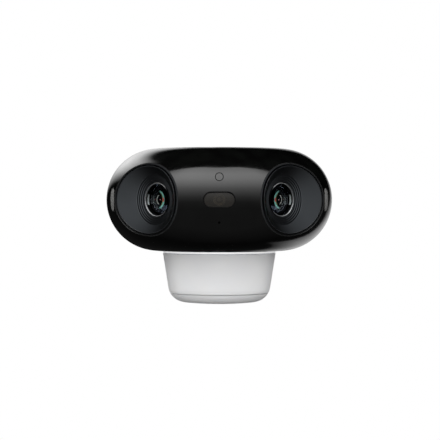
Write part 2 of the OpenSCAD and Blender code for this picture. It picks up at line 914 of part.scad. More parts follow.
module mount_insert() {
    color("#b5975a") in_head() at_back(0) translate([0, 0, rear_depth - insert_len + fit])
        tube(insert_r, stud_r + fit / 2, insert_len - fit);
}

// One ear: a plate with a round end around a bolt. The bolt runs along Z.
module ear(reach) {
    cylinder(r = ear_r, h = ear_t);
    translate([-ear_r, 0, 0]) cube([2 * ear_r, reach, ear_t]);
}

module camera_foot() {
    color("#dcdedf") difference() {
        union() {
            in_head() at_back(0) translate([0, 0, rear_depth]) cylinder(r = foot_r, h = foot_t);
            in_head() at_back(0) translate([0, 0, rear_depth - insert_len + 1])
                cylinder(r = stud_r, h = insert_len);
            for (s = [0, 1]) translate([0, -tilt_y, 0]) mirror([s, 0, 0]) rotate([0, 90, 0])
                translate([0, 0, ear_in]) rotate([0, 0, 180]) ear(tilt_gap - 1);
        }
        translate([0, -tilt_y, 0]) rotate([0, 90, 0])
            cylinder(r = bolt_r + fit, h = big, center = true);
    }
}

// Socket screw along Z whose shank is centred and whose head is at the top.
module socket_screw() {
    difference() {
        union() {
            translate([0, 0, -ear_out]) cylinder(r = bolt_r, h = 2 * ear_out + cut);
            translate([0, 0, ear_out]) cylinder(r = bolt_head_r, h = bolt_head_t);
        }
        translate([0, 0, ear_out + bolt_head_t - 2]) cylinder(r = socket_r, h = 3, $fn = 6);
    }
}

module tilt_bolt() {
    color("#8f9294") translate([0, -tilt_y, 0]) rotate([0, 90, 0]) socket_screw();
}

module swivel_link() {
    color("#c4c7c9") difference() {
        union() {
            translate([0, -pan_y, 0]) cylinder(r = knuckle_r, h = 2 * link_half, center = true);
            translate([0, -tilt_y, 0]) rotate([0, 90, 0])
                cylinder(r = knuckle_r, h = 2 * link_half, center = true);
            translate([-neck_w / 2, -tilt_y, -neck_h / 2]) cube([neck_w, link_len, neck_h]);
        }
        translate([0, -pan_y, 0]) cylinder(r = bolt_r + running, h = big, center = true);
        translate([0, -tilt_y, 0]) rotate([0, 90, 0])
            cylinder(r = bolt_r + running, h = big, center = true);
    }
}

module wall_plate() {
    r = plate_d / 2;
    color("#dcdedf") difference() {
        union() {
            rotate([90, 0, 0]) rotate_extrude() {
                square([r, plate_t - plate_edge]);
                square([r - plate_edge, plate_t]);
                translate([r - plate_edge, plate_t - plate_edge]) circle(r = plate_edge);
            }
            for (s = [0, 1]) mirror([0, 0, s]) translate([0, -pan_y, ear_in])
                ear(pan_y - plate_t / 2);
        }
        translate([0, -pan_y, 0]) cylinder(r = bolt_r + fit, h = big, center = true);
        for (a = [90:120:330]) rotate([0, -a, 0]) translate([screw_circle_r, 0, 0])
            rotate([90, 0, 0]) {
                translate([0, 0, -cut]) cylinder(r = wall_hole_r, h = plate_t + 2 * cut);
                translate([0, 0, plate_t - 2]) cylinder(r = sink_r, h = 2 + cut);
            }
    }
}

module pan_bolt() {
    color("#8f9294") translate([0, -pan_y, 0]) socket_screw();
}

front_shell();
rear_housing();
parting_gasket();
mid_frame();
housing_screws();
chassis();
lens_bezel_left();
lens_bezel_right();
lens_barrel_left();
lens_barrel_right();
lens_retainer_left();
lens_retainer_right();
front_element_left();
front_element_right();
rear_element_left();
rear_element_right();
lens_mount_left();
lens_mount_right();
image_sensor_left();
image_sensor_right();
sensor_board_left();
sensor_board_right();
light_window();
spotlight_lens();
spotlight_led();
front_board();
status_light_pipe();
microphone();
microphone_boot();
side_window_left();
side_window_right();
side_light_left();
side_light_right();
main_board();
processor_shield();
battery_cells();
battery_tray();
antennas();
speaker();
io_board();
usb_socket();
button_switch();
sync_button();
port_cover();
cover_pin();
cup_collar();
cup_seal();
motion_lens();
motion_cap();
motion_board();
sensor_post();
motion_sensors();
mount_insert();
camera_foot();
tilt_bolt();
swivel_link();
wall_plate();
pan_bolt();
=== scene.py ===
"""Two-lens security camera with spotlights, a motion sensor cup and a pan and tilt bracket.

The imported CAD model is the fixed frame. Each sub-assembly is a class that dresses its CAD
pieces and adds the fine pieces that they need: rounded rims, lens elements, prisms and optics.
Lengths are in millimetres and become metres where a mesh is made.
"""
import logging
import math
from dataclasses import dataclass
from enum import Enum
from typing import Sequence

import bmesh
import bpy
from mathutils import Matrix, Vector


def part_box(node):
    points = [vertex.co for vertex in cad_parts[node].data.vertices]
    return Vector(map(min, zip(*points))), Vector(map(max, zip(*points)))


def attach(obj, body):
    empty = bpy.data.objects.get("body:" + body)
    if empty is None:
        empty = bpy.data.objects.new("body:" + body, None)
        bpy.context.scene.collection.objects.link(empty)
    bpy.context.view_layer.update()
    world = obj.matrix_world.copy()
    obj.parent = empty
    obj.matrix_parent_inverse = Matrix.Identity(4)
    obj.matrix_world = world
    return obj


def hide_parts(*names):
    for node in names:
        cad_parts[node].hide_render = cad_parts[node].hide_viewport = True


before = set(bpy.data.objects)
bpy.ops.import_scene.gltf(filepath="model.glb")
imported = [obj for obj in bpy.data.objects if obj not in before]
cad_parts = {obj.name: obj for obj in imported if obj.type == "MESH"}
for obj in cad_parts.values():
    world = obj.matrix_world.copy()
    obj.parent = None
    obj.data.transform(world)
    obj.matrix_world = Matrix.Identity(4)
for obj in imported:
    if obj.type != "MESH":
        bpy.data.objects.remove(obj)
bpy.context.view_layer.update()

LOG = logging.getLogger("camera")
MM = 0.001
UP = Vector((0.0, 0.0, 1.0))
RIM_STEPS = 144             # points round a lens opening
RIM_SEARCH = (2.0, 16.0)    # how far before and past the cone's bottom its rim is looked for
RIM_HALVINGS = 40
PILL_STEPS = 24             # points round each end of a window
TONE_RANGE = (0.35, 0.65)   # grey values of a noise between which the colour changes
DULL_RANGE = (0.3, 0.7)     # and between which the roughness does
WAVE_SCALE = 2 * math.pi / 20   # makes one ring of a wave texture as wide as its scale says
Point = tuple[float, float, float]
Pairs = tuple[tuple[float, float], ...]
Mesh = tuple[list, list]    # vertices and faces


class Side(Enum):
    """Side of the camera that a piece is on, seen by someone who looks at its front."""

    LEFT = -1
    RIGHT = 1

    @property
    def word(self) -> str:
        """Lower-case name, as the CAD nodes end."""
        return self.name.lower()


# ---------------------------------------------------------------- nodes and colours


def linear(colour: str) -> tuple[float, float, float, float]:
    """Turns an sRGB hex colour into linear light.

    Args:
        colour: Six hex digits, with or without a leading #.

    Returns:
        Linear red, green and blue, and an alpha of 1.
    """
    digits = colour.lstrip("#")
    parts = [int(digits[i:i + 2], 16) / 255 for i in (0, 2, 4)]
    red, green, blue = (
        p / 12.92 if p <= 0.04045 else ((p + 0.055) / 1.055) ** 2.4 for p in parts
    )
    return red, green, blue, 1.0


def add_node(
    tree: bpy.types.NodeTree,
    kind: str,
    settings: dict[str, object] | None = None,
    inputs: dict[str | int, object] | None = None,
) -> bpy.types.Node:
    """Adds a node, sets its properties and fills its inputs.

    Args:
        tree: Node tree that gets the node.
        kind: Type name of the node.
        settings: Values of the node's own properties.
        inputs: Values by input name or index. An output socket given here is linked.

    Returns:
        The new node.
    """
    node = tree.nodes.new(kind)
    for name, value in (settings or {}).items():
        setattr(node, name, value)
    for name, value in (inputs or {}).items():
        if isinstance(value, bpy.types.NodeSocket):
            tree.links.new(value, node.inputs[name])
        else:
            node.inputs[name].default_value = value
    return node


# ---------------------------------------------------------------- finishes


@dataclass(frozen=True)
class Surface:
    """Nodes of one material: its tree, its shader and the coordinates on the object."""

    tree: bpy.types.NodeTree
    shader: bpy.types.Node
    place: bpy.types.NodeSocket

    def fix(self, values: dict[str, object]) -> None:
        """Sets what is the same all over the surface.

        Args:
            values: Values by the name of the shader's own socket.
        """
        for name, value in values.items():
            self.shader.inputs[name].default_value = value

    def drive(self, name: str, value: bpy.types.NodeSocket) -> None:
        """Lets a pattern drive one of the shader's sockets."""
        self.tree.links.new(value, self.shader.inputs[name])

    def grains(
        self, size: float, octaves: float = 2.0, stretch: Point = (1.0, 1.0, 1.0)
    ) -> bpy.types.NodeSocket:
        """Scatters uneven grains of a real size.

        Args:
            size: Width of one grain.
            octaves: Octaves of finer grains inside it.
            stretch: How many times longer a grain is along X, Y and Z.

        Returns:
            Grey value around 0.5.
        """
        scaled = add_node(self.tree, "ShaderNodeMapping", {"vector_type": "POINT"}, {
            "Vector": self.place, "Scale": tuple(1 / s for s in stretch),
        }).outputs[0]
        return add_node(self.tree, "ShaderNodeTexNoise", inputs={
            "Vector": scaled, "Scale": 1 / (size * MM), "Detail": octaves,
        }).outputs["Fac"]

    def tone(self, amount: bpy.types.NodeSocket, first: str, second: str) -> None:
        """Clouds the colour between two hex colours.

        Args:
            amount: Grey value that chooses.
            first: Colour where it is low.
            second: Colour where it is high.
        """
        low, high = TONE_RANGE
        share = add_node(self.tree, "ShaderNodeMapRange", inputs={
            "Value": amount, "From Min": low, "From Max": high,
        }).outputs[0]
        self.drive("Base Color", add_node(self.tree, "ShaderNodeMix", {"data_type": "RGBA"}, {
            0: share, 6: linear(first), 7: linear(second),
        }).outputs[2])

    def dull(self, amount: bpy.types.NodeSocket, least: float, most: float) -> None:
        """Makes the surface duller in some places than in others.

        Args:
            amount: Grey value that chooses.
            least: Roughness where it is low.
            most: Roughness where it is high.
        """
        low, high = DULL_RANGE
        self.drive("Roughness", add_node(self.tree, "ShaderNodeMapRange", inputs={
            "Value": amount, "From Min": low, "From Max": high, "To Min": least, "To Max": most,
        }).outputs[0])

    def emboss(self, height: bpy.types.NodeSocket, depth: float) -> None:
        """Presses a relief into the surface, on top of those that it already has.

        Args:
            height: Grey value, 1 at the highest.
            depth: Real height between 0 and 1.
        """
        relief = add_node(self.tree, "ShaderNodeBump", inputs={
            "Height": height, "Distance": depth * MM, "Strength": 1.0})
        for earlier in self.shader.inputs["Normal"].links:
            self.tree.links.new(earlier.from_socket, relief.inputs["Normal"])
        self.drive("Normal", relief.outputs[0])


@dataclass(frozen=True)
class Finish:
    """A finish that becomes one procedural material."""

    name: str
    colour: str
    roughness: float = 0.5
    ior: float = 1.5
    metallic: float = 0.0

    def material(self) -> bpy.types.Material:
        """Makes the material the first time, and finds it again later.

        Returns:
            The material with its nodes.
        """
        known = bpy.data.materials.get(self.name)
        if known:
            return known
        made = bpy.data.materials.new(self.name)
        made.use_nodes = True
        tree = made.node_tree
        tree.nodes.clear()
        shader = add_node(tree, "ShaderNodeBsdfPrincipled", inputs={
            "Base Color": linear(self.colour),
            "Roughness": self.roughness,
            "Metallic": self.metallic,
        })
        if not self.metallic:
            shader.inputs["IOR"].default_value = self.ior
        add_node(tree, "ShaderNodeOutputMaterial", inputs={"Surface": shader.outputs[0]})
        place = add_node(tree, "ShaderNodeTexCoord").outputs["Object"]
        self.detail(Surface(tree, shader, place))
        return made

    def detail(self, surface: Surface) -> None:
        """Adds what the surface shows up close. Each finish has its own."""

    def dress(self, *names: str) -> None:
        """Gives the finish to CAD nodes.

        Args:
            names: Names of the CAD nodes.
        """
        for name in names:
            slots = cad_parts[name].data.materials
            slots.clear()
            slots.append(self.material())


@dataclass(frozen=True)
class GlossPolycarbonate(Finish):
    """Polycarbonate moulded in a polished mould and hard coated."""

    dark: str = "060606"
    wave: float = 9.0           # sink waves of a 2.4 mm wall
    wave_depth: float = 0.0012
    peel: float = 0.9           # orange peel of the sprayed hard coat
    peel_depth: float = 0.0002
    rub: float = 3.0            # patches that a cleaning cloth has dulled
    rub_stretch: Point = (4.0, 1.0, 1.0)

    def detail(self, surface: Surface) -> None:
        """Adds slow waves, orange peel and faint rubbed patches.

        Args:
            surface: Nodes of the material.
        """
        slow = surface.grains(self.wave, 1.0)
        surface.tone(slow, self.colour, self.dark)
        surface.dull(surface.grains(self.rub, 4.0, self.rub_stretch),
                     self.roughness * 0.8, self.roughness * 1.25)
        surface.emboss(slow, self.wave_depth)
        surface.emboss(surface.grains(self.peel, 1.0), self.peel_depth)


@dataclass(frozen=True)
class TexturedPlastic(Finish):
    """Plastic moulded in a spark-eroded or etched mould."""

    shade: str = "000000"
    grain: float = 0.35         # etched grains are near 0.1, drawn coarser so that they show
    grain_depth: float = 0.01
    patch: float = 14.0         # slow change of tone from the flow of the melt

    def detail(self, surface: Surface) -> None:
        """Adds the mould's grain, slow changes of tone and duller patches.

        Args:
            surface: Nodes of the material.
        """
        grains = surface.grains(self.grain, 3.0)
        surface.tone(surface.grains(self.patch), self.colour, self.shade)
        surface.dull(grains, self.roughness * 0.88, self.roughness * 1.12)
        surface.emboss(grains, self.grain_depth)


@dataclass(frozen=True)
class MilkyPolyethylene(Finish):
    """High-density polyethylene, thin enough to let heat rays and some light through."""

    shade: str = "dfe2e3"
    inside: float = 0.35        # share of the light that spreads inside the wall
    reach: float = 2.5          # how far it spreads
    reach_by_colour: Point = (1.0, 0.95, 0.9)
    glow: float = 0.0           # painted glow, an emission with no lamp behind it
    cloud: float = 16.0         # uneven filler
    grain: float = 0.5          # mould grain near 0.2, drawn coarser so that it shows
    grain_depth: float = 0.006

    def detail(self, surface: Surface) -> None:
        """Adds light that spreads inside, any painted glow, a soft mould grain and cloudy tone.

        Args:
            surface: Nodes of the material.
        """
        grains = surface.grains(self.grain)
        surface.fix({
            "Subsurface Weight": self.inside,
            "Subsurface Radius": self.reach_by_colour,
            "Subsurface Scale": self.reach * MM,
            # painted glow: emission that brightens the part though no lamp is in it
            "Emission Color": linear("ffffff"),
            "Emission Strength": self.glow,
        })
        surface.tone(surface.grains(self.cloud), self.colour, self.shade)
        surface.dull(grains, self.roughness * 0.9, self.roughness * 1.1)
        surface.emboss(grains, self.grain_depth)


@dataclass(frozen=True)
class PowderCoat(Finish):
    """Die-cast aluminium under a baked powder coat."""

    shade: str = "d2d4d5"
    patch: float = 11.0         # slow change of tone where the coat is thicker
    peel: float = 0.8           # dimples of the molten powder
    peel_depth: float = 0.012
    grit: float = 0.25          # powder grains are near 0.05, drawn coarser so that they show
    grit_depth: float = 0.003

    def detail(self, surface: Surface) -> None:
        """Adds the dimples and fine grit of the powder.

        Args:
            surface: Nodes of the material.
        """
        grit = surface.grains(self.grit)
        surface.tone(surface.grains(self.patch), self.colour, self.shade)
        surface.dull(grit, self.roughness * 0.85, self.roughness * 1.15)
        surface.emboss(surface.grains(self.peel, 1.0), self.peel_depth)
        surface.emboss(grit, self.grit_depth)


@dataclass(frozen=True)
class Rubber(Finish):
    """Silicone rubber pressed in a mould, with a dry surface that holds dust."""

    shade: str = "000000"
    bloom: float = 2.5          # patches of dust
    grain: float = 0.3          # mould grain near 0.1, drawn coarser so that it shows
    grain_depth: float = 0.012
    sheen: float = 0.15         # of the dust it holds
    sheen_roughness: float = 0.4

    def detail(self, surface: Surface) -> None:
        """Adds the dry grain, a dusty bloom and a soft sheen.

        Args:
            surface: Nodes of the material.
        """
        bloom = surface.grains(self.bloom, 4.0)
        surface.fix({"Sheen Weight": self.sheen, "Sheen Roughness": self.sheen_roughness})
        surface.tone(bloom, self.colour, self.shade)
        surface.dull(bloom, self.roughness * 0.92, self.roughness * 1.05)
        surface.emboss(surface.grains(self.grain, 3.0), self.grain_depth)


@dataclass(frozen=True)
class TurnedMetal(Finish):
    """Metal turned on a lathe, whose grooves run round an axis."""

    metallic: float = 1.0
    shade: str = "000000"
    groove: float = 0.35        # feed of the tool is near 0.1, drawn coarser so that it shows
    groove_depth: float = 0.004
    stain: float = 1.2          # uneven anodising
    centre: Point = (0.0, 0.0, 0.0)
    turn: Point = (0.0, 0.0, 0.0)

    def detail(self, surface: Surface) -> None:
        """Adds grooves round the axis and a slightly uneven tone.

        Args:
            surface: Nodes of the material.
        """
        local = add_node(surface.tree, "ShaderNodeMapping", {"vector_type": "TEXTURE"}, {
            "Vector": surface.place, "Location": tuple(c * MM for c in self.centre),
            "Rotation": self.turn,
        }).outputs[0]
        grooves = add_node(
            surface.tree, "ShaderNodeTexWave", {"wave_type": "RINGS", "rings_direction": "Z"}, {
                "Vector": local, "Scale": WAVE_SCALE / (self.groove * MM),
                "Distortion": 0.4, "Detail": 1.0,
            }).outputs["Fac"]
        uneven = surface.grains(self.stain, 3.0)
        surface.tone(uneven, self.colour, self.shade)
        surface.dull(uneven, self.roughness * 0.85, self.roughness * 1.15)
        surface.emboss(grooves, self.groove_depth)


@dataclass(frozen=True)
class PlatedMetal(Finish):
    """Rolled or headed metal with a thin plating."""

    metallic: float = 1.0
    shade: str = "000000"
    mark: float = 0.3           # rolling marks near 0.05, drawn coarser so that they show
    mark_depth: float = 0.003
    stretch: Point = (1.0, 1.0, 1.0)
    spangle: float = 0.6        # crystals of the plating

    def detail(self, surface: Surface) -> None:
        """Adds rolling marks, and the spangle of the plating.

        Args:
            surface: Nodes of the material.
        """
        marks = surface.grains(self.mark, 3.0, self.stretch)
        surface.tone(surface.grains(self.spangle), self.colour, self.shade)
        surface.dull(marks, self.roughness * 0.75, self.roughness * 1.25)
        surface.emboss(marks, self.mark_depth)


@dataclass(frozen=True)
class OpticalGlass(Finish):
    """Polished glass with a thin anti-reflection coating that gives its glints a hue."""

    tint: str = "ffffff"
    level: float = 0.5
    clear: float = 1.0
    dust: float = 0.6
    dust_share: tuple[float, float] = (0.62, 0.8)   # grey values between which dust sets in
    haze: float = 0.05          # roughness that the dust adds

    def detail(self, surface: Surface) -> None:
        """Adds transmission, the coating's hue and the faintest haze of dust.

        Args:
            surface: Nodes of the material.
        """
        surface.fix({
            "Transmission Weight": self.clear,
            "Specular Tint": linear(self.tint),
            "Specular IOR Level": self.level,
        })
        clean, dusty = self.dust_share
        surface.drive("Roughness", add_node(surface.tree, "ShaderNodeMapRange", inputs={
            "Value": surface.grains(self.dust, 5.0), "From Min": clean, "From Max": dusty,
            "To Min": self.roughness, "To Max": self.roughness + self.haze,
        }).outputs[0])


@dataclass(frozen=True)
class PaintedArc:
    """One arc or spot of painted light or shade on a surface seen along its axis, in millimetres."""

    hue: str
    middle: float               # centre of the arc, across
    inner: float
    outer: float
    soft: float = 0.3
    reach: float = 99.0         # how far up and down it goes
    begin: float = -99.0        # where it fades in, across
    full: float = -98.0         # where it is at full strength

    def share(
        self, tree: bpy.types.NodeTree, flat: bpy.types.NodeSocket,
        across: bpy.types.NodeSocket, height: bpy.types.NodeSocket,
    ) -> bpy.types.NodeSocket:
        """Masks the arc.

        Args:
            tree: Node tree of the material.
            flat: Place in the plane square to the axis.
            across: Its part across.
            height: Distance above or below the axis.

        Returns:
            Strength of the arc, from 0 to 1.
        """
        away = add_node(tree, "ShaderNodeVectorMath", {"operation": "DISTANCE"}, {
            0: flat, 1: (self.middle, 0.0, 0.0)}).outputs["Value"]
        share = None
        for value, low, high in (
                (away, self.inner - self.soft, self.inner + self.soft),
                (away, self.outer + self.soft, self.outer - self.soft),
                (height, self.reach + self.soft, self.reach - self.soft),
                (across, self.begin, self.full)):
            step = add_node(tree, "ShaderNodeMapRange", {"interpolation_type": "SMOOTHSTEP"}, {
                "Value": value, "From Min": low, "From Max": high}).outputs[0]
            share = step if share is None else add_node(
                tree, "ShaderNodeMath", {"operation": "MULTIPLY"}, {0: share, 1: step}).outputs[0]
        return share


@dataclass(frozen=True)
class PaintedLightSurface(Finish):
    """Surface with painted highlights, painted reflections and painted shade in arcs on one side of its
    axis.
    """

    painted_arcs: tuple[PaintedArc, ...] = ()
    flip: float = 1.0           # -1 swaps left and right
    level: float = 0.5
    centre: Point = (0.0, 0.0, 0.0)
    turn: Point = (0.0, 0.0, 0.0)
    dust: float = 0.8
    haze: float = 0.04          # roughness that the dust adds

    def detail(self, surface: Surface) -> None:
        """Adds each painted arc of light or shade over the ground colour, and the faintest haze of dust.

        Args:
            surface: Nodes of the material.
        """
        tree = surface.tree
        local = add_node(tree, "ShaderNodeMapping", {"vector_type": "TEXTURE"}, {
            "Vector": surface.place, "Location": tuple(c * MM for c in self.centre),
            "Rotation": self.turn, "Scale": (MM * self.flip, MM, MM)}).outputs[0]
        flat = add_node(tree, "ShaderNodeVectorMath", {"operation": "MULTIPLY"}, {
            0: local, 1: (1.0, 1.0, 0.0)}).outputs[0]
        axes = add_node(tree, "ShaderNodeSeparateXYZ", inputs={0: flat}).outputs
        height = add_node(
            tree, "ShaderNodeMath", {"operation": "ABSOLUTE"}, {0: axes["Y"]}).outputs[0]
        colour: object = linear(self.colour)
        # each arc paints light and shade into the base colour
        for painted_arc in self.painted_arcs:
            colour = add_node(tree, "ShaderNodeMix", {"data_type": "RGBA"}, {
                0: painted_arc.share(tree, flat, axes["X"], height), 6: colour, 7: linear(painted_arc.hue),
            }).outputs[2]
        surface.fix({"Specular IOR Level": self.level})
        surface.drive("Base Color", colour)
        surface.dull(surface.grains(self.dust, 5.0), self.roughness, self.roughness + self.haze)


@dataclass(frozen=True)
class CastAcrylic(Finish):
    """Acrylic moulded in a polished mould, clear or with smoke-coloured dye."""

    shade: str = "ffffff"
    clear: float = 1.0
    dye: float = 4.0            # uneven dye
    ripple: float = 3.0         # flow of the melt
    ripple_depth: float = 0.002

    def detail(self, surface: Surface) -> None:
        """Adds transmission, slightly uneven dye and the mould's ripple.

        Args:
            surface: Nodes of the material.
        """
        surface.fix({"Transmission Weight": self.clear})
        surface.tone(surface.grains(self.dye), self.colour, self.shade)
        surface.emboss(surface.grains(self.ripple, 1.0), self.ripple_depth)


@dataclass(frozen=True)
class CircuitBoard(Finish):
    """Glass-fibre board under green solder mask, with copper traces that show through."""

    trace: str = "2f7a4c"
    pad: str = "c9b26a"
    pitch: float = 1.27
    trace_length: float = 7.62
    gap: float = 0.18
    hole_pitch: float = 3.2
    hole_share: tuple[float, float] = (0.13, 0.16)  # of the hole pitch, from plated to mask
    mask_depth: float = 0.03

    def detail(self, surface: Surface) -> None:
        """Adds traces, plated holes and the relief of the mask over the copper.

        Args:
            surface: Nodes of the material.
        """
        tree = surface.tree
        turned = add_node(tree, "ShaderNodeMapping", {"vector_type": "POINT"}, {
            "Vector": surface.place, "Rotation": (math.pi / 2, 0.0, 0.0),
        }).outputs[0]
        traces = add_node(
            tree, "ShaderNodeTexBrick",
            {"offset": 0.37, "offset_frequency": 3, "squash": 2.2, "squash_frequency": 2}, {
                "Vector": turned, "Scale": 1.0, "Mortar Size": self.gap * MM,
                "Brick Width": self.trace_length * MM, "Row Height": self.pitch * MM,
            }).outputs["Fac"]
        holes = add_node(tree, "ShaderNodeTexVoronoi", {"feature": "F1"}, {
            "Vector": surface.place, "Scale": 1 / (self.hole_pitch * MM), "Randomness": 0.7,
        }).outputs["Distance"]
        copper = add_node(tree, "ShaderNodeMix", {"data_type": "RGBA"}, {
            0: add_node(tree, "ShaderNodeMapRange", inputs={
                "Value": traces, "From Min": 0.3, "From Max": 0.7}).outputs[0],
            6: linear(self.colour), 7: linear(self.trace),
        }).outputs[2]
        inner, outer = self.hole_share
        plated = add_node(tree, "ShaderNodeMapRange", inputs={
            "Value": holes, "From Min": inner, "From Max": outer, "To Min": 1.0, "To Max": 0.0,
        }).outputs[0]
        surface.drive("Base Color", add_node(tree, "ShaderNodeMix", {"data_type": "RGBA"}, {
            0: plated, 6: copper, 7: linear(self.pad),
        }).outputs[2])
        surface.emboss(traces, self.mask_depth)


@dataclass(frozen=True)
class ShrinkSleeve(Finish):
    """Thin PVC film shrunk over a battery cell, with a glossy crinkle at its ends."""

    shade: str = "335a8c"
    wrinkle: float = 1.6
    wrinkle_stretch: Point = (0.3, 2.5, 2.5)
    wrinkle_depth: float = 0.03

    def detail(self, surface: Surface) -> None:
        """Adds wrinkles that run round the cell and a slow tone.

        Args:
            surface: Nodes of the material.
        """
        shrunk = surface.grains(self.wrinkle, 2.0, self.wrinkle_stretch)
        surface.tone(shrunk, self.colour, self.shade)
        surface.emboss(shrunk, self.wrinkle_depth)


@dataclass(frozen=True)
class Phosphor(Finish):
    """Silicone filled with yellow phosphor over a light-emitting chip."""

    shade: str = "d8cf9a"
    grain: float = 0.15
    grain_depth: float = 0.01

    def detail(self, surface: Surface) -> None:
        """Adds the phosphor's grains.

        Args:
            surface: Nodes of the material.
        """
        grains = surface.grains(self.grain, 3.0)
        surface.tone(grains, self.colour, self.shade)
        surface.emboss(grains, self.grain_depth)


# Hard-coated polycarbonate: deep black that mirrors the lamps with only a slight blur.
GLOSS_BLACK = GlossPolycarbonate("gloss_black_polycarbonate", "0b0c0b", 0.11, 1.58)
# Acrylate-styrene rubber blend for outdoors: bright white that spreads light without a glint.
WHITE_SHELL = TexturedPlastic("white_asa", "e4e5e6", 0.46, 1.52, shade="dfe0e2")
# Polycarbonate blend from an etched mould: nearly black itself, grey only where its sheen falls.
SATIN_BEZEL = TexturedPlastic(
    "satin_black_polycarbonate_abs", "2b2d2f", 0.5, 1.5, shade="292b2d", grain=0.25, grain_depth=0.0015)
# The same blend from a polished mould: the flange round the cone, black between two thin lines.
FLANGE_BLACK = TexturedPlastic(
    "polished_black_flange", "060607", 0.25, 1.5, shade="080809", grain=0.25, grain_depth=0.001)
# The same blend on the rounded edges, lighter than the cone: thin light lines, partly real highlights on
# the beads and partly painted highlight.
EDGE_BEZEL = TexturedPlastic(
    "edge_highlight_polycarbonate_abs", "3c3f42", 0.3, 1.58, shade="36393c", grain=0.25, grain_depth=0.001)
# Glass-filled nylon: black and dull, with a coarse grain.
BLACK_NYLON = TexturedPlastic(
    "black_glass_filled_nylon", "1b1c1e", 0.55, 1.53, shade="141516", grain=0.4, grain_depth=0.02)
# Recycled ABS of the inner frame: plain mid grey.
GREY_ABS = TexturedPlastic("grey_abs", "9a9c9e", 0.5, 1.54, shade="8f9193")
# Polyethylene of the motion lens: soft milky white.
MILKY_CUP = MilkyPolyethylene("milky_polyethylene", "ededed", 0.45, 1.52, shade="ebebec")
# The same polyethylene on the collar, with a painted glow that keeps it nearly white in the head's shade.
PAINTED_GLOW_COLLAR = MilkyPolyethylene("milky_polyethylene_painted_glow", "ffffff", 0.5, 1.52, shade="fcfcfc", glow=0.45)
# White powder over die-cast aluminium: satin with fine dimples.
WHITE_POWDER = PowderCoat("white_powder_coat", "dcdedf", 0.42, 1.5, shade="d9dbdc")
# Light grey powder of the swivel link: the same coat in a darker tone.
GREY_POWDER = PowderCoat("grey_powder_coat", "c4c7c9", 0.4, 1.5, shade="b9bcbe")
# Silicone rubber of gasket, boot and cup seal: nearly no shine.
BLACK_RUBBER = Rubber("black_silicone_rubber", "1a1a1b", 0.8, 1.43, shade="222223")
# Foam seal round the windows and behind the microphone's hole: fully black; round the windows it also
# paints the shade of the groove at their edge.
SEAL_AND_SHADE_BLACK = Rubber("black_foam_seal_painted_shade", "030303", 0.95, 1.3, shade="050505", sheen=0.0)
# Silicone rubber of the button and the port's flap: light grey and dry.
GREY_RUBBER = Rubber("grey_silicone_rubber", "c9cbcc", 0.7, 1.43, shade="bec0c2")
# Silicone rubber of the cup's seal: a thin light grey line.
SEAL_RUBBER = Rubber("seal_silicone_rubber", "c6c8cc", 0.75, 1.43, shade="c2c4c8")
# Pressed zinc-plated steel: bright with faint clouds.
ZINC_STEEL = PlatedMetal("zinc_plated_steel", "b9bbbd", 0.32, shade="a9abad")
# Stainless steel of the two bolts: cleanly turned, grey-white.
STAINLESS = PlatedMetal("stainless_steel", "8f9294", 0.3, shade="828587")
# Tinned and nickel-plated cans: brushed along their length.
NICKEL_CAN = PlatedMetal("nickel_plated_steel", "b9bcbf", 0.28, shade="adb0b3", stretch=(6.0, 1.0, 1.0))
# Rolled aluminium sheet of the lens plate: long rolling marks.
ROLLED_ALUMINIUM = PlatedMetal(
    "rolled_aluminium", "a4a7a9", 0.36, shade="989b9d", stretch=(8.0, 8.0, 1.0))
# Brass of the tripod thread: warm yellow.
BRASS = PlatedMetal("machined_brass", "b5975a", 0.3, shade="a78a50")
# Immersion gold over the flexible antennas: soft yellow film.
GOLD_FILM = PlatedMetal("gold_plated_film", "c8a25e", 0.35, shade="b9934f", spangle=1.5)
# Crown glass with a broad-band coat: nearly all light goes in, what comes back is faintly blue.
FRONT_GLASS = OpticalGlass("coated_crown_glass", "f4fbf8", 0.0, 1.52, tint="c4d4ff", level=0.02)
# Dense flint glass of the deeper lens, drawn opaque and near black: painted shade of the lens's dark
# inside.
INNER_GLASS = OpticalGlass("coated_flint_glass", "040607", 0.02, 1.8, tint="58d8c8", level=0.3, clear=0.0)
# Smoked acrylic: dark brown-grey, so that the lamp behind shows only as a shade.
SMOKED_ACRYLIC = CastAcrylic("smoked_acrylic", "57544f", 0.05, 1.49, shade="53504c", clear=0.75)
# Polycarbonate of the side lights, frosted by its prisms: pale grey and softly lit inside.
FROSTED_POLYCARBONATE = CastAcrylic(
    "frosted_polycarbonate", "b4b4b2", 0.4, 1.58, shade="a9a9a7", clear=0.35)
# Glass-fibre board under solder mask: deep green, with lighter traces and pale plated holes.
GREEN_BOARD = CircuitBoard("green_circuit_board", "17402c", 0.35, 1.55)
# Silicone with phosphor over the light chips: a pale, faintly yellow grain.
LED_PHOSPHOR = Phosphor("led_phosphor", "e9e7dc", 0.5, 1.45)
# PVC film shrunk over the battery cells: blue, shiny and slightly crinkled.
CELL_SLEEVE = ShrinkSleeve("shrunk_pvc_sleeve", "3f6ea8", 0.3, 1.53)


# ---------------------------------------------------------------- meshes


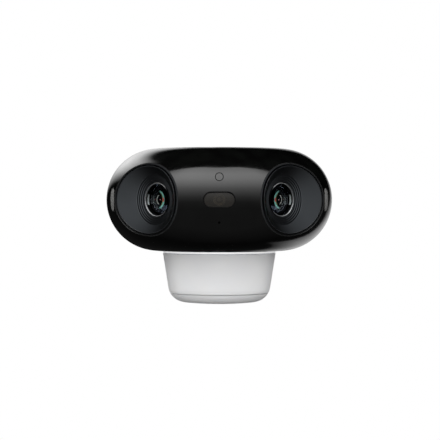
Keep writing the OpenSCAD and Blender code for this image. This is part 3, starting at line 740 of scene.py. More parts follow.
def add_piece(
    name: str, vertices: Sequence[Sequence[float]], faces: Sequence[Sequence[int]],
    place: Matrix, finish: Finish, slot: str, sharp: float = 35.0, body: str = "camera",
) -> bpy.types.Object:
    """Makes a mesh piece that rides on a body.

    Args:
        name: Name of the piece.
        vertices: Points in millimetres in the piece's own frame.
        faces: Vertex numbers of each face.
        place: Where the piece's own frame is, in metres.
        finish: Finish of the whole piece.
        slot: Material slot of the record; not used.
        sharp: Angle in degrees above which an edge stays sharp.
        body: CAD body that carries the piece.

    Returns:
        The new object.
    """
    data = bpy.data.meshes.new(name)
    data.from_pydata([place @ (Vector(v) * MM) for v in vertices], [], [tuple(f) for f in faces])
    mesh = bmesh.new()
    mesh.from_mesh(data)
    bmesh.ops.recalc_face_normals(mesh, faces=mesh.faces)
    mesh.to_mesh(data)
    mesh.free()
    data.shade_smooth()
    data.set_sharp_from_angle(angle=math.radians(sharp))
    data.materials.append(finish.material())
    piece = bpy.data.objects.new(name, data)
    bpy.context.scene.collection.objects.link(piece)
    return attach(piece, body)


def lathe(profile: Sequence[tuple[float, float]], steps: int, closed: bool) -> Mesh:
    """Turns a profile round the Z axis.

    Args:
        profile: Radius and height of each point. A radius of zero gives one point on the axis.
        steps: Number of points round the axis.
        closed: Whether the last point joins the first.

    Returns:
        Vertices and faces.
    """
    vertices: list[Point] = []
    rows: list[list[int]] = []
    for radius, height in profile:
        if radius < 1e-6:
            vertices.append((0.0, 0.0, height))
            rows.append([len(vertices) - 1] * steps)
            continue
        rows.append(list(range(len(vertices), len(vertices) + steps)))
        for i in range(steps):
            angle = 2 * math.pi * i / steps
            vertices.append((radius * math.cos(angle), radius * math.sin(angle), height))
    pairs = list(zip(rows, rows[1:])) + ([(rows[-1], rows[0])] if closed else [])
    faces = []
    for low, high in pairs:
        for i in range(steps):
            j = (i + 1) % steps
            ring = list(dict.fromkeys((low[i], low[j], high[j], high[i])))
            if len(ring) > 2:
                faces.append(ring)
    return vertices, faces


def bead(
    path: Sequence[Vector], outward: Sequence[Vector], radius: float, sides: int = 10
) -> Mesh:
    """Round bead along a closed path.

    Args:
        path: Points of the path.
        outward: Direction at each point that counts as up.
        radius: Radius of the bead.
        sides: Points round its section.

    Returns:
        Vertices and faces.
    """
    count = len(path)
    vertices, faces = [], []
    for i, point in enumerate(path):
        along = (path[(i + 1) % count] - path[i - 1]).normalized()
        up = (outward[i] - along * outward[i].dot(along)).normalized()
        across = along.cross(up)
        for k in range(sides):
            angle = 2 * math.pi * k / sides
            vertices.append(point + (up * math.cos(angle) + across * math.sin(angle)) * radius)
    for i in range(count):
        for k in range(sides):
            j, m = (i + 1) % count, (k + 1) % sides
            faces.append((i * sides + k, j * sides + k, j * sides + m, i * sides + m))
    return vertices, faces


def circle(radius: float, height: float, steps: int) -> list[Vector]:
    """Circle round the Z axis.

    Args:
        radius: Its radius.
        height: Its height.
        steps: Number of points.

    Returns:
        Points in order.
    """
    angles = (2 * math.pi * k / steps for k in range(steps))
    return [Vector((radius * math.cos(a), radius * math.sin(a), height)) for a in angles]


def ring_bead(radius: float, height: float, thick: float, steps: int, sides: int) -> Mesh:
    """Round ring about the Z axis.

    Args:
        radius: Radius of its middle line.
        height: Height of its middle line.
        thick: Radius of its section.
        steps: Points round the axis.
        sides: Points round its section.

    Returns:
        Vertices and faces.
    """
    return bead(circle(radius, height, steps), [UP] * steps, thick, sides)


def loops_closed(loops: Sequence[Sequence[Vector]]) -> Mesh:
    """Skin over loops of points, of which the last joins the first.

    Args:
        loops: Loops with equally many points.

    Returns:
        Vertices and faces.
    """
    steps = len(loops[0])
    faces = []
    for j in range(len(loops)):
        a, b = j * steps, (j + 1) % len(loops) * steps
        faces += [(a + k, a + (k + 1) % steps, b + (k + 1) % steps, b + k) for k in range(steps)]
    return [point for loop in loops for point in loop], faces


def joined(meshes: Sequence[Mesh]) -> Mesh:
    """Several meshes as one.

    Args:
        meshes: Vertices and faces of each.

    Returns:
        Vertices and faces of all.
    """
    vertices, faces = [], []
    for points, rings in meshes:
        faces += [tuple(len(vertices) + k for k in ring) for ring in rings]
        vertices += points
    return vertices, faces


# ---------------------------------------------------------------- sub-assemblies


@dataclass
class Head:
    """Front and rear shells with the parts that close them."""

    width: float = 120.0
    height: float = 54.0

    @property
    def parting(self) -> float:
        """Distance of the parting plane from the wall, as a Y value."""
        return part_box("rear_housing")[0].y / MM

    def place(self) -> Matrix:
        """Frame of the head: origin in its middle on the parting plane."""
        return Matrix.Translation((0.0, self.parting * MM, 0.0))

    def axis(self, angle: float) -> Matrix:
        """Frame whose Z axis looks outwards from the head's vertical axis.

        Args:
            angle: Angle to the right of straight ahead, in degrees.

        Returns:
            The frame: X across, Y up, Z outwards.
        """
        return (self.place() @ Matrix.Rotation(math.radians(angle), 4, "Z")
                @ Matrix.Rotation(math.pi / 2, 4, "X"))

    def radius(self, z: float, inset: float = 0.0) -> float:
        """Distance of the round front from the head's vertical axis.

        Args:
            z: Height above the middle.
            inset: How far inside the outer face.

        Returns:
            The radius.
        """
        half = self.height / 2 - inset
        return self.width / 2 - self.height / 2 + math.sqrt(max(half * half - z * z, 0.0))

    def outward(self, point: Vector) -> Vector:
        """Direction square to the round front.

        Args:
            point: Point near the front, in the head's frame.

        Returns:
            Unit direction.
        """
        flat = Vector((point.x, point.y, 0.0)).normalized()
        centre = flat * (self.width - self.height) / 2
        return (point - centre).normalized()

    def build(self) -> None:
        """Dresses the shells and what joins them."""
        GLOSS_BLACK.dress("front_shell")
        WHITE_SHELL.dress("rear_housing")
        BLACK_RUBBER.dress("parting_gasket")
        GREY_ABS.dress("mid_frame")
        ZINC_STEEL.dress("housing_screws")


@dataclass
class LensModule:
    """One lens with its conical bezel, barrel, glass and the rounded rim of its opening."""

    head: Head
    side: Side
    angle: float = 42.5             # of the lens axis, from straight ahead
    cone_angle: float = 55.0        # of the cone's wall, from the lens axis
    cone_base: float = 49.2         # of the cone's bottom, from the head's vertical axis
    cone_base_r: float = 13.0
    rim_wall: float = 0.7
    rim_bead: float = 0.3
    rim_sink: float = 0.35
    flange: float = 0.95            # width of the gloss flange
    flange_step: float = 0.25       # from the flange down to the cone
    flange_set: float = 0.05        # of the visible skins, from the bezel's own faces
    bezel_wall: float = 0.6
    bezel_set: float = 0.3
    edge_bead: float = 0.12
    inner_edge_sink: float = 0.5
    outer_edge_sink: float = 0.2
    step_count: int = 4
    step_width: float = 0.9
    step_depth: float = 0.5
    step_bead: float = 0.11
    step_sink: float = 0.04
    barrel_front: float = 47.1
    ring_r: float = 8.45
    ring_bead: float = 0.19
    ring_lift: float = 0.08
    glass_seat: float = 43.4        # the elements' heights below are measured from it
    element_top: float = 1.69
    element_bend: float = 12.3      # radius of the dome
    element_radii: tuple[float, ...] = (0.0, 0.6, 1.2, 1.8, 2.4, 3.0, 3.6, 4.2, 4.7, 5.0)
    element_skirt: Pairs = ((5.05, 0.5), (5.05, -0.3), (0.0, -0.3))
    trap_steps: Pairs = (
        (5.1, 0.56), (5.3, 0.56), (5.34, 0.38), (5.65, 0.36), (5.69, 0.24), (6.0, 0.22),
        (6.04, 0.08), (6.4, 0.04), (6.4, -0.3), (5.1, -0.3))
    lip_steps: Pairs = (
        (8.23, 2.95), (8.02, 2.2), (7.9, 1.4), (8.03, 1.22), (8.23, 1.22))

    @property
    def place(self) -> Matrix:
        """Frame of the lens axis."""
        return self.head.axis(self.side.value * self.angle)

    @property
    def parting(self) -> Point:
        """Middle of the head, where the lens axis starts."""
        return (0.0, self.head.parting, 0.0)

    @property
    def turn(self) -> Point:
        """Turn of the lens axis for a finish that runs round it."""
        return (math.pi / 2, 0.0, math.radians(self.side.value * self.angle))

    def rim_path(self, wall: float, inset: float) -> tuple[list[Vector], list[Vector]]:
        """Line where a cone with a wall meets the round front.

        Args:
            wall: Thickness added to the bezel's cone.
            inset: How far inside the outer face the line lies.

        Returns:
            Points and outward directions in the lens frame.
        """
        spread = math.tan(math.radians(self.cone_angle))
        base = self.cone_base_r + wall / math.cos(math.radians(self.cone_angle))
        turn = (Matrix.Rotation(math.radians(self.side.value * self.angle), 4, "Z")
                @ Matrix.Rotation(math.pi / 2, 4, "X"))
        points, ups = [], []
        for i in range(RIM_STEPS):
            angle = 2 * math.pi * i / RIM_STEPS
            low, high = self.cone_base - RIM_SEARCH[0], self.cone_base + RIM_SEARCH[1]
            for _ in range(RIM_HALVINGS):
                middle = (low + high) / 2
                reach = base + (middle - self.cone_base) * spread
                spot = turn @ Vector((reach * math.cos(angle), reach * math.sin(angle), middle))
                inside = math.hypot(spot.x, spot.y) < self.head.radius(spot.z, inset)
                low, high = (middle, high) if inside else (low, middle)
            points.append(turn.inverted() @ spot)
            ups.append((turn.inverted().to_3x3() @ self.head.outward(spot)).normalized())
        return points, ups

    def add(self, name: str, mesh: Mesh, finish: Finish, slot: str) -> None:
        """Adds a piece in the lens frame, named for its side.

        Args:
            name: Name of the piece without its side.
            mesh: Vertices and faces.
            finish: Finish of the whole piece.
            slot: Material slot of the record.
        """
        add_piece(f"{name}_{self.side.word}", *mesh, self.place, finish, slot)

    def add_rim(self) -> None:
        """Adds the rubber cord that seals the bezel in its opening; its black also paints the shade of the
        gap round the bezel.
        """
        points, ups = self.rim_path(self.rim_wall, self.rim_sink)
        self.add("bezel_gasket_and_shade", bead(points, ups, self.rim_bead), BLACK_RUBBER, "black_rubber")

    def add_flange(self) -> None:
        """Adds the glossy flange that follows the round front, and the satin cone inside it."""
        inner, _ = self.rim_path(-self.flange, self.bezel_set + self.flange_step)
        outer, _ = self.rim_path(self.edge_bead, self.bezel_set + self.flange_set)
        foot = circle(self.cone_base_r, self.cone_base + self.flange_set, RIM_STEPS)
        low = [point - Vector((0.0, 0.0, self.flange_step)) for point in inner]
        self.add("bezel_flange", loops_closed((inner, outer, low)), FLANGE_BLACK, "black_plastic")
        self.add("bezel_cone", loops_closed((foot, low, outer)), SATIN_BEZEL, "satin_grey_bezel")

    def add_bezel_edges(self) -> None:
        """Rounds the flange's two edges and the steps at the cone's bottom."""
        edges = [bead(*self.rim_path(wall, sink), self.edge_bead, 8) for wall, sink in (
            (-self.flange, self.inner_edge_sink), (self.bezel_wall, self.outer_edge_sink))]
        # the edges' lighter colour is partly painted highlight
        self.add("bezel_edges", joined(edges), EDGE_BEZEL, "satin_grey_bezel")
        steps = [
            ring_bead(self.cone_base_r - i * self.step_width,
                      self.cone_base - i * self.step_depth - self.step_sink,
                      self.step_bead, 120, 8)
            for i in range(self.step_count + 1)]
        self.add("bezel_steps", joined(steps), SATIN_BEZEL, "satin_grey_bezel")

    def add_bright_ring(self) -> None:
        """Adds the rounded bright edge that holds the front glass."""
        mesh = ring_bead(
            self.ring_r, self.barrel_front + self.ring_lift, self.ring_bead, RIM_STEPS, 10)
        self.add("bright_ring", mesh, self.bright_turned(), "bright_ring")

    def add_second_element(self) -> None:
        """Adds the domed lens right behind the front glass, with the light trap round it."""
        seat, bend = self.glass_seat, self.element_bend
        foot = seat + self.element_top - bend
        profile = [(r, foot + math.sqrt(bend * bend - r * r)) for r in self.element_radii]
        profile += [(r, seat + h) for r, h in self.element_skirt]
        self.add("second_element", lathe(profile, 96, False), self.painted_reflection_element(), "coated_glass")
        trap = [(r, seat + h) for r, h in self.trap_steps]
        self.add("light_trap", lathe(trap, 96, True), self.black_turned(), "black_anodised")

    def add_lip(self) -> None:
        """Adds the polished lip that centres the front glass in the barrel, with a painted highlight on
        its outer side.
        """
        steps = [(r, self.glass_seat + h) for r, h in self.lip_steps]
        self.add("glass_lip", lathe(steps, RIM_STEPS, True), self.lip_metal(), "black_anodised")

    def painted_reflection_element(self) -> PaintedLightSurface:
        """Dark opaque lens with coloured arcs of painted reflection.

        Returns:
            Painted teal reflection arcs toward the head's middle, a painted red core and a painted pale
            highlight arc beyond it, with small painted dark and pink rings and spots.
        """
        # the dark opaque ground paints the shade inside the lens; the arcs are painted reflections
        return PaintedLightSurface(
            f"coated_lens_{self.side.word}", "040505", 0.05, 1.6, level=0.02,
            flip=-self.side.value, centre=self.parting, turn=self.turn, painted_arcs=(
                PaintedArc("14191a", -1.0, 3.1, 3.4, soft=0.12),
                PaintedArc("b4fff6", -1.4, 3.9, 4.6, soft=0.25, begin=-1.2, full=1.2),
                PaintedArc("b0b478", -1.4, 3.5, 3.75, soft=0.2, begin=0.2, full=2.0),
                PaintedArc("ff5060", 1.1, 1.2, 1.9, soft=0.2, reach=1.0, begin=2.0, full=2.3),
                PaintedArc("ffffff", 1.1, 2.5, 2.85, soft=0.16, reach=2.2, begin=0.6, full=-0.4),
                PaintedArc("e8a0b0", 0.7, -1.0, 0.3, soft=0.12),
                PaintedArc("b05a5c", -3.1, -1.0, 0.25, soft=0.1)))

    def lip_metal(self) -> PaintedLightSurface:
        """Polished black surface with a painted highlight.

        Returns:
            Black with a painted highlight arc on the side away from the head's middle.
        """
        return PaintedLightSurface(
            f"polished_lip_{self.side.word}", "08090a", 0.3, 1.5, level=0.3,
            flip=-self.side.value, centre=self.parting, turn=self.turn,
            painted_arcs=(PaintedArc("d2dcdc", 0.0, 7.93, 8.12, soft=0.03, reach=2.6, begin=-5.0, full=-6.0),))

    def black_turned(self) -> TurnedMetal:
        """Black anodised aluminium of the barrel.

        Returns:
            Black whose fine turning lines catch thin arcs of light.
        """
        return TurnedMetal(
            f"black_anodised_aluminium_{self.side.word}", "0e0f10", 0.5, shade="0a0b0c",
            centre=self.parting, turn=self.turn)

    def bright_turned(self) -> PaintedLightSurface:
        """Turned aluminium of the ring that holds the glass.

        Returns:
            Painted highlight on the outer side, and painted shade toward the head's middle.
        """
        return PaintedLightSurface(
            f"bright_turned_aluminium_{self.side.word}", "1a1b1c", 0.45, metallic=1.0,
            flip=-self.side.value, centre=self.parting, turn=self.turn,
            painted_arcs=(PaintedArc("e2e4e5", 0.0, -9.0, 19.0, begin=7.2, full=4.2),))

    def build(self) -> None:
        """Dresses the lens and adds its fine pieces."""
        word = self.side.word
        SATIN_BEZEL.dress(f"lens_bezel_{word}")
        self.black_turned().dress(f"lens_barrel_{word}")
        # the retainer gets the same painted highlight and painted shade as the ring
        self.bright_turned().dress(f"lens_retainer_{word}")
        FRONT_GLASS.dress(f"front_element_{word}")
        INNER_GLASS.dress(f"rear_element_{word}")
        BLACK_NYLON.dress(f"lens_mount_{word}", f"image_sensor_{word}")
        GREEN_BOARD.dress(f"sensor_board_{word}")
        for name in (f"front_element_{word}", f"rear_element_{word}"):
            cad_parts[name].visible_shadow = False
        self.add_rim()
        self.add_flange()
        self.add_bezel_edges()
        self.add_bright_ring()
        self.add_second_element()
        self.add_lip()


@dataclass
class FrontLights:
    """Middle spotlight, side lights, status light and microphone."""

    head: Head
    seal_bead: float = 0.3
    seal_inset: float = 0.27
    middle_seal: tuple[float, float] = (15.8, 7.6)      # across and up
    middle_seal_sink: float = 0.15
    side_angle: float = 69.04
    side_seal: tuple[float, float] = (6.7, 12.8)
    side_width: float = 6.8
    side_height: float = 12.9
    window_inset: float = 0.35
    prism: float = 0.8
    prism_height: float = 0.22
    prism_sink: float = 0.01        # of the prisms' feet in the window
    prism_margin: float = 0.45      # from the window's edge
    prism_corner: float = 0.3       # share of a prism that counts against the margin
    optic_r: float = 3.05
    optic_front: float = 57.75      # the optic's depths below are measured from it
    optic_length: float = 10.45
    optic_taper: float = 0.7
    optic_button: Pairs = (
        (0.0, 0.1), (0.35, 0.14), (0.62, 0.34), (0.7, 0.8), (1.15, 0.95))
    optic_rings: tuple[float, ...] = (1.3, 1.75, 2.2)
    optic_ring: Pairs = ((0.0, 0.55), (0.3, 0.1), (0.32, 0.6))
    optic_rim: Pairs = ((-0.1, 0.05), (0.0, 0.3))
    microphone_z: float = -11.4
    microphone_r: float = 0.59
    mesh_depth: float = 0.9
    mesh_wall: float = 0.3

    def pill(self, width: float, height: float) -> list[tuple[float, float]]:
        """Outline of a lying or standing pill round the middle.

        Args:
            width: Size across.
            height: Size upwards.

        Returns:
            Points in order.
        """
        r = min(width, height) / 2
        dx, dy = width / 2 - r, height / 2 - r
        lying = width >= height
        outline = []
        for end in (0, 1):
            start = (-90 if lying else 0) + 180 * end
            sign = 1 - 2 * end
            for i in range(PILL_STEPS + 1):
                angle = math.radians(start + 180 * i / PILL_STEPS)
                outline.append((sign * dx + r * math.cos(angle), sign * dy + r * math.sin(angle)))
        return outline

    def drape(self, outline: Sequence[tuple[float, float]], inset: float) -> list[Vector]:
        """Lays an outline on the round front, seen along the frame's Z axis.

        Args:
            outline: Points across and up.
            inset: How far inside the outer face.

        Returns:
            Points with their distance outwards.
        """
        return [Vector((x, y, math.sqrt(self.head.radius(y, inset) ** 2 - x * x)))
                for x, y in outline]

    def add_seal(self, name: str, angle: float, size: tuple[float, float], sink: float = 0.0) -> None:
        """Adds the foam seal round a window, whose black also paints the shade of the groove at its edge.

        Args:
            name: Name of the piece.
            angle: Angle of the window from straight ahead.
            size: Size of the seal's middle line, across and up.
            sink: How much lower than the window it lies, which puts more of the painted shade below the
                window's upper edge.
        """
        outline = [(x, y - sink) for x, y in self.pill(*size)]
        path = self.drape(outline, self.seal_inset)
        mesh = bead(path, [UP] * len(path), self.seal_bead, 8)
        add_piece(name, *mesh, self.head.axis(angle), SEAL_AND_SHADE_BLACK, "black_rubber")

    def add_prisms(self, side: Side) -> None:
        """Covers a side light with small pyramids that spread its light.

        Args:
            side: Which side light.
        """
        vertices, faces = [], []
        p = self.prism
        columns, rows = int(self.side_width / p) + 2, int(self.side_height / p) + 2
        limit = self.side_width / 2 - self.prism_margin
        reach = self.side_height / 2 - self.side_width / 2
        for i in range(-columns, columns):
            for j in range(-rows, rows):
                x, y = (i + 0.5) * p, (j + 0.5) * p
                beyond = max(abs(y) - reach, 0.0)
                if math.hypot(abs(x) + p * self.prism_corner, beyond) > limit:
                    continue
                corners = [(x + dx * p / 2, y + dy * p / 2)
                           for dx, dy in ((-1, -1), (1, -1), (1, 1), (-1, 1))]
                start = len(vertices)
                vertices += self.drape(corners, self.window_inset - self.prism_sink)
                vertices += self.drape([(x, y)], self.window_inset - self.prism_height)
                faces += [(start + k, start + (k + 1) % 4, start + 4) for k in range(4)]
        add_piece(f"side_prisms_{side.word}", vertices, faces,
                  self.head.axis(side.value * self.side_angle), FROSTED_POLYCARBONATE,
                  "diffuser", sharp=5.0)

    def add_optic(self) -> None:
        """Builds the spotlight's ringed optic in place of its plain solid."""
        section = list(self.optic_button)
        section += [(radius + out, depth) for radius in self.optic_rings
                    for out, depth in self.optic_ring]
        section += [(self.optic_r + out, depth) for out, depth in self.optic_rim]
        section += [(self.optic_r * self.optic_taper, self.optic_length), (0.0, self.optic_length)]
        profile = [(radius, self.optic_front - depth) for radius, depth in section]
        # opaque pale optic whose dark ring is painted shade of the ring's deep groove
        cast = PaintedLightSurface(
            "ringed_acrylic_painted_shade", "d8d0be", 0.3, 1.49, centre=(0.0, self.head.parting, 0.0),
            turn=(math.pi / 2, 0.0, 0.0), painted_arcs=(PaintedArc("3a3834", 0.0, 1.05, 1.7, soft=0.15),))
        optic = add_piece("spotlight_optic", *lathe(profile, 72, False), self.head.axis(0.0),
                          cast, "optic")
        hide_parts("spotlight_lens")

    def add_mesh_disc(self) -> None:
        """Adds the woven disc that keeps water out of the microphone's hole."""
        front = self.head.radius(self.microphone_z) - self.mesh_depth
        rear = front - self.mesh_wall
        profile = [(0.0, front), (self.microphone_r, front), (self.microphone_r, rear), (0.0, rear)]
        place = (self.head.place() @ Matrix.Translation((0.0, 0.0, self.microphone_z * MM))
                 @ Matrix.Rotation(math.pi / 2, 4, "X"))
        add_piece("microphone_mesh", *lathe(profile, 32, False), place, SEAL_AND_SHADE_BLACK, "black_rubber")

    def build(self) -> None:
        """Dresses the lights and adds their fine pieces."""
        SMOKED_ACRYLIC.dress("light_window")
        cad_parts["light_window"].visible_shadow = False
        LED_PHOSPHOR.dress("spotlight_led", "side_light_left", "side_light_right")
        GREEN_BOARD.dress("front_board")
        GLOSS_BLACK.dress("status_light_pipe")
        NICKEL_CAN.dress("microphone")
        BLACK_RUBBER.dress("microphone_boot")
        FROSTED_POLYCARBONATE.dress("side_window_left", "side_window_right")
        self.add_seal("middle_window_edge", 0.0, self.middle_seal, self.middle_seal_sink)
        for side in Side:
            self.add_seal(f"side_window_edge_{side.word}", side.value * self.side_angle,
                          self.side_seal)
            self.add_prisms(side)
        self.add_optic()
        self.add_mesh_disc()


@dataclass
class MotionCup:
    """Milky cup under the head with the motion sensors in it."""

    milky: tuple[str, ...] = ("motion_lens", "motion_cap")
    collar: str = "cup_collar"
    seal: str = "cup_seal"

    def build(self) -> None:
        """Dresses the cup and what is inside it, and keeps it out of the gloss shell's mirror."""
        MILKY_CUP.dress(*self.milky)
        # the collar's painted glow keeps it white in the head's shade
        PAINTED_GLOW_COLLAR.dress(self.collar)
        SEAL_RUBBER.dress(self.seal)
        for name in (*self.milky, self.collar, self.seal):
            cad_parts[name].visible_glossy = False
        GREEN_BOARD.dress("motion_board")
        BLACK_NYLON.dress("sensor_post")
        NICKEL_CAN.dress("motion_sensors")


@dataclass
class Internals:
    """Frame, boards, battery and sound parts inside the head."""

    def build(self) -> None:
        """Dresses each inner piece."""
        ROLLED_ALUMINIUM.dress("chassis")
        GREEN_BOARD.dress("main_board", "io_board")
        NICKEL_CAN.dress("processor_shield", "usb_socket")
        CELL_SLEEVE.dress("battery_cells")
        BLACK_NYLON.dress("battery_tray", "speaker", "button_switch")
        GOLD_FILM.dress("antennas")


@dataclass
class RearControls:
    """Button and covered port on the camera's back."""

    def build(self) -> None:
        """Dresses the button, the flap and its pin."""
        GREY_RUBBER.dress("sync_button", "port_cover")
        ZINC_STEEL.dress("cover_pin")


@dataclass
class Bracket:
    """Wall plate, swivel link and camera foot with their bolts."""

    def build(self) -> None:
        """Dresses the bracket."""
        WHITE_POWDER.dress("wall_plate", "camera_foot")
        GREY_POWDER.dress("swivel_link")
        STAINLESS.dress("pan_bolt", "tilt_bolt")
        BRASS.dress("mount_insert")


# ---------------------------------------------------------------- studio


def direction(turn: float, lift: float) -> Vector:
    """Direction from the middle of the head.

    Args:
        turn: Degrees to the right of straight ahead.
        lift: Degrees above the middle of the head.

    Returns:
        Unit direction.
    """
    across, up = math.radians(turn), math.radians(lift)
    return Vector((
        math.cos(up) * math.sin(across), -math.cos(up) * math.cos(across), math.sin(up)))


@dataclass(frozen=True)
class Fill:
    """Soft square lamp that lights some parts and mirrors in none."""

    name: str
    turn: float                 # degrees to the right of straight ahead
    lift: float                 # degrees above the middle of the head
    watts: float
    size: float = 1.0           # metres
    shadow: bool = True         # whether parts in front shade the lit ones


@dataclass(frozen=True)
class SoftBox:
    """Curved glowing panel that faces the object."""

    name: str
    turns: tuple[float, float]  # degrees of its two ends to the right of straight ahead
    lifts: tuple[float, float]  # degrees of its lower and upper edge above the head's middle
    across: Pairs               # position along the panel, 0 to 1, and brightness there
    up: Pairs                   # position from the lower to the upper edge, and brightness there
    strength: float             # brightness where both say 1
    drop: float = 0.0           # how many degrees lower the upper edge is at its ends
    rise: float = 0.0           # how many degrees higher it is at its second end than at its first

    def direction(self, u: float, v: float) -> Vector:
        """Direction from the middle of the head to a point of the panel.

        Args:
            u: Position along the panel.
            v: Position from the lower to the upper edge.

        Returns:
            Unit direction.
        """
        turn = self.turns[0] + (self.turns[1] - self.turns[0]) * u
        top = self.lifts[1] - self.drop * (2 * u - 1) ** 4
        lift = self.lifts[0] + (top - self.lifts[0]) * v + self.rise * (u - 0.5)
        return direction(turn, lift)

    def glow(self) -> bpy.types.Material:
        """Makes the panel's light, which fades as its two rows of steps say.

        Returns:
            Emitting material.
        """
        glow = bpy.data.materials.new(self.name)
        glow.use_nodes = True
        tree = glow.node_tree
        tree.nodes.clear()
        where = add_node(tree, "ShaderNodeSeparateXYZ", inputs={
            0: add_node(tree, "ShaderNodeTexCoord").outputs["UV"]}).outputs
        parts = []
        for share, steps in ((where["X"], self.across), (where["Y"], self.up)):
            ramp = add_node(tree, "ShaderNodeValToRGB", inputs={"Fac": share})
            elements = ramp.color_ramp.elements
            while len(elements) > 1:
                elements.remove(elements[-1])
            for i, (spot, value) in enumerate(steps):
                element = elements[0] if i == 0 else elements.new(spot)
                element.position = spot
                element.color = (value, value, value, 1.0)
            parts.append(ramp.outputs["Color"])
        light = add_node(tree, "ShaderNodeEmission", inputs={
            "Color": add_node(tree, "ShaderNodeMix", {"data_type": "RGBA", "blend_type": "MULTIPLY"}, {
                0: 1.0, 6: parts[0], 7: parts[1]}).outputs[2],
            "Strength": self.strength})
        add_node(tree, "ShaderNodeOutputMaterial", inputs={"Surface": light.outputs[0]})
        return glow


# The box above the front, which makes the soft band across the gloss shell.
FRONT_SOFTBOX = SoftBox(
    "front_softbox", (-84, 84), (-20, 72),
    ((0.0, 0.0), (0.054, 0.45), (0.1, 0.72), (0.19, 0.97), (0.28, 1.0), (0.5, 0.93),
     (0.72, 0.88), (0.81, 0.84), (0.9, 0.62), (0.952, 0.3), (1.0, 0.0)),
    ((0.0, 0.027), (0.163, 0.042), (0.272, 0.105), (0.38, 0.24), (0.489, 0.42), (0.598, 0.72),
     (0.707, 0.94), (0.815, 1.0), (0.924, 0.82), (1.0, 0.75)), 3.4, drop=30.0)
# The boxes behind, which edge the shell's upper left and lower right.
REAR_SOFTBOXES = (
    SoftBox(
        "rear_left_softbox", (-186, -122), (5, 39),
        ((0.0, 0.3), (0.22, 0.45), (0.45, 0.9), (0.6, 1.0), (0.75, 0.95), (0.9, 0.45), (1.0, 0.0)),
        ((0.0, 0.0), (0.15, 0.3), (0.35, 0.8), (0.5, 1.0), (0.72, 0.95), (0.88, 0.5), (1.0, 0.0)),
        2.55, rise=32.0),
    SoftBox(
        "rear_right_softbox", (145, 184), (-38, 12),
        ((0.0, 0.6), (0.3, 1.0), (0.7, 0.9), (1.0, 0.3)),
        ((0.0, 0.1), (0.3, 0.9), (0.7, 1.0), (1.0, 0.2)), 0.8, rise=36.0))
# Lamps of the white cup, even from all sides.
CUP_FILLS = (
    Fill("cup_front_fill", 0, -8, 6), Fill("cup_left_fill", -100, 15, 6),
    Fill("cup_right_fill", 100, 15, 6), Fill("cup_low_fill", 0, -60, 6.5),
    Fill("cup_rear_fill", 180, -20, 8))
# Lamps of the white rear housing and the bracket, brightest from above and behind.
BACK_FILLS = (
    Fill("top_fill", 0, 60, 12), Fill("rear_fill", 180, 30, 13),
    Fill("rear_left_fill", -105, 15, 9), Fill("rear_right_fill", 105, 10, 6),
    Fill("rear_low_fill", 180, -60, 5))
# Lamps of the two cones, each from the side that its cone looks away from.
CONE_FILLS = {
    side: Fill(f"cone_light_{side.word}", -side.value * 50, 20, 62, size=0.9, shadow=False)
    for side in Side}


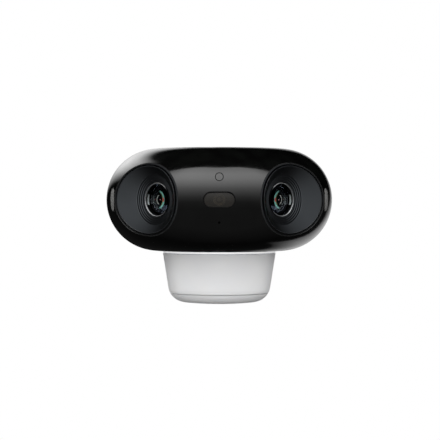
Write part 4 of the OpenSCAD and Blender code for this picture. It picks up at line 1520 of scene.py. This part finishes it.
@dataclass
class Studio:
    """Pale floor, soft lamps and the camera that looks at the object."""

    centre_y: float = -94.0
    distance: float = 850.0
    sensor: float = 36.0
    focal: float = 130.4
    shift_x: float = 0.0016
    shift_y: float = -0.04625
    near: float = 0.01              # metres, and the next three too
    far: float = 50.0
    panel_distance: float = 1.6
    fill_distance: float = 1.2
    floor_z: float = -300.0         # millimetres again
    floor_r: float = 650.0
    floor_glow: float = 0.45
    panel_grid: tuple[int, int] = (24, 16)

    @property
    def centre(self) -> Vector:
        """Middle of the head, in metres."""
        return Vector((0.0, self.centre_y * MM, 0.0))

    def add_camera(self) -> None:
        """Adds the camera level with the middle of the head."""
        data = bpy.data.cameras.new("view")
        data.sensor_width, data.lens = self.sensor, self.focal
        data.shift_x, data.shift_y = self.shift_x, self.shift_y
        data.clip_start, data.clip_end = self.near, self.far
        camera = bpy.data.objects.new("view", data)
        camera.location = (0.0, (self.centre_y - self.distance) * MM, 0.0)
        camera.rotation_euler = (math.pi / 2, 0.0, 0.0)
        bpy.context.scene.collection.objects.link(camera)
        bpy.context.scene.camera = camera

    def receivers(self, name: str, lit: Sequence[str], left_out: bool = False) -> bpy.types.Collection:
        """Groups the objects that a lamp lights.

        Args:
            name: Name of the group.
            lit: Names of CAD nodes and pieces.
            left_out: Whether the lamp lights all but these.

        Returns:
            The group.
        """
        group = bpy.data.collections.new(name)
        for key in lit:
            group.objects.link(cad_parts.get(key) or bpy.data.objects[key])
        if left_out:
            for member in group.collection_objects:
                member.light_linking.link_state = "EXCLUDE"
        return group

    def add_fill(self, fill: Fill, lit: Sequence[str]) -> None:
        """Hangs a fill lamp that looks at the middle of the head.

        Args:
            fill: The lamp.
            lit: CAD nodes and pieces that it lights.
        """
        data = bpy.data.lights.new(fill.name, "AREA")
        data.size, data.energy, data.use_shadow = fill.size, fill.watts, fill.shadow
        lamp = bpy.data.objects.new(fill.name, data)
        away = direction(fill.turn, fill.lift)
        lamp.location = self.centre + away * self.fill_distance
        lamp.rotation_euler = (-away).to_track_quat("-Z", "Y").to_euler()
        lamp.visible_camera = False
        lamp.visible_glossy = False
        bpy.context.scene.collection.objects.link(lamp)
        lamp.light_linking.receiver_collection = self.receivers(fill.name, lit)

    def add_softbox(self, box: SoftBox, lit: Sequence[str], left_out: bool = False) -> None:
        """Hangs a soft box round the middle of the head.

        Args:
            box: The soft box.
            lit: CAD nodes and pieces that it lights.
            left_out: Whether it lights all but these.
        """
        columns, rows = self.panel_grid
        spots = [(i / columns, j / rows) for j in range(rows + 1) for i in range(columns + 1)]
        starts = [j * (columns + 1) + i for j in range(rows) for i in range(columns)]
        data = bpy.data.meshes.new(box.name)
        data.from_pydata(
            [self.centre + box.direction(u, v) * self.panel_distance for u, v in spots], [],
            [(k, k + 1, k + columns + 2, k + columns + 1) for k in starts])
        layer = data.uv_layers.new(name="across")
        for loop in data.loops:
            layer.data[loop.index].uv = spots[loop.vertex_index]
        data.materials.append(box.glow())
        panel = bpy.data.objects.new(box.name, data)
        panel.visible_camera = False
        bpy.context.scene.collection.objects.link(panel)
        panel.light_linking.receiver_collection = self.receivers(box.name, lit, left_out)

    def add_world(self) -> None:
        """Makes the surroundings white to the eye and dim as a source of light."""
        world = bpy.data.worlds.new("studio")
        world.use_nodes = True
        tree = world.node_tree
        tree.nodes.clear()
        towards = add_node(tree, "ShaderNodeSeparateXYZ", inputs={
            0: add_node(tree, "ShaderNodeTexCoord").outputs["Generated"]}).outputs
        below = add_node(tree, "ShaderNodeMapRange", inputs={
            "Value": towards["Z"], "From Min": -0.3, "From Max": 0.05, "To Min": 1.0, "To Max": 0.0,
        }).outputs[0]
        ahead = add_node(tree, "ShaderNodeMapRange", inputs={
            "Value": towards["Y"], "From Min": -0.35, "From Max": 0.4, "To Min": 0.1, "To Max": 0.015,
        }).outputs[0]
        low = add_node(tree, "ShaderNodeMath", {"operation": "MULTIPLY"}, {0: below, 1: ahead}).outputs[0]
        seen = add_node(tree, "ShaderNodeLightPath").outputs["Is Camera Ray"]
        strength = add_node(tree, "ShaderNodeMath", {"operation": "MAXIMUM"}, {0: low, 1: seen}).outputs[0]
        light = add_node(tree, "ShaderNodeBackground", inputs={
            "Color": linear("ffffff"), "Strength": strength})
        add_node(tree, "ShaderNodeOutputWorld", inputs={"Surface": light.outputs[0]})
        bpy.context.scene.world = world

    def add_floor(self) -> None:
        """Adds the pale floor below the hanging camera."""
        vertices, faces = lathe([(0.0, self.floor_z), (self.floor_r, self.floor_z)], 96, False)
        data = bpy.data.meshes.new("floor")
        data.from_pydata([self.centre + Vector(vertex) * MM for vertex in vertices], [], faces)
        paint = bpy.data.materials.new("pale_floor")
        paint.use_nodes = True
        shader = paint.node_tree.nodes["Principled BSDF"]
        for name, value in (("Base Color", linear("f4f4f3")), ("Roughness", 0.8),
                            ("Emission Color", linear("ffffff")), ("Emission Strength", self.floor_glow)):
            shader.inputs[name].default_value = value
        data.materials.append(paint)
        floor = bpy.data.objects.new("floor", data)
        floor.visible_glossy = False
        floor.visible_diffuse = False
        bpy.context.scene.collection.objects.link(floor)

    def build(self) -> None:
        """Builds the whole studio. Matt and shiny parts get lamps of their own."""
        cones = {side: [f"{piece}_{side.word}" for piece in (
            "lens_bezel", "bezel_cone", "bezel_steps", "bezel_flange")] for side in Side}
        depths = [f"{piece}_{side.word}" for side in Side for piece in (
            "front_element", "rear_element", "lens_barrel", "light_trap")]
        polished = ["front_shell", "status_light_pipe"]
        metals = ["housing_screws", "pan_bolt", "tilt_bolt", "mount_insert", "cover_pin"]
        cup = ["cup_collar", "cup_seal", "motion_lens", "motion_cap", "motion_board",
               "motion_sensors", "sensor_post"]
        back = ["rear_housing", "parting_gasket", "wall_plate", "swivel_link", "camera_foot",
                "sync_button", "port_cover"]
        self.add_world()
        self.add_floor()
        self.add_camera()
        self.add_softbox(FRONT_SOFTBOX, sum(cones.values(), depths + back), left_out=True)
        for box in REAR_SOFTBOXES:
            self.add_softbox(box, polished + metals)
        for fills, lit in ((CUP_FILLS, cup), (BACK_FILLS, back + metals)):
            for fill in fills:
                self.add_fill(fill, lit)
        for side, fill in CONE_FILLS.items():
            self.add_fill(fill, cones[side])
        bpy.context.scene.view_settings.view_transform = "Standard"


def main() -> None:
    """Builds every sub-assembly in order and reports it."""
    logging.basicConfig(level=logging.INFO, format="%(name)s: %(message)s")
    head = Head()
    assemblies = {
        "head": head,
        "left lens": LensModule(head, Side.LEFT),
        "right lens": LensModule(head, Side.RIGHT),
        "front lights": FrontLights(head),
        "motion cup": MotionCup(),
        "internals": Internals(),
        "rear controls": RearControls(),
        "bracket": Bracket(),
        "studio": Studio(),
    }
    for name, assembly in assemblies.items():
        assembly.build()
        LOG.info("built the %s", name)


if __name__ == "__main__":
    main()
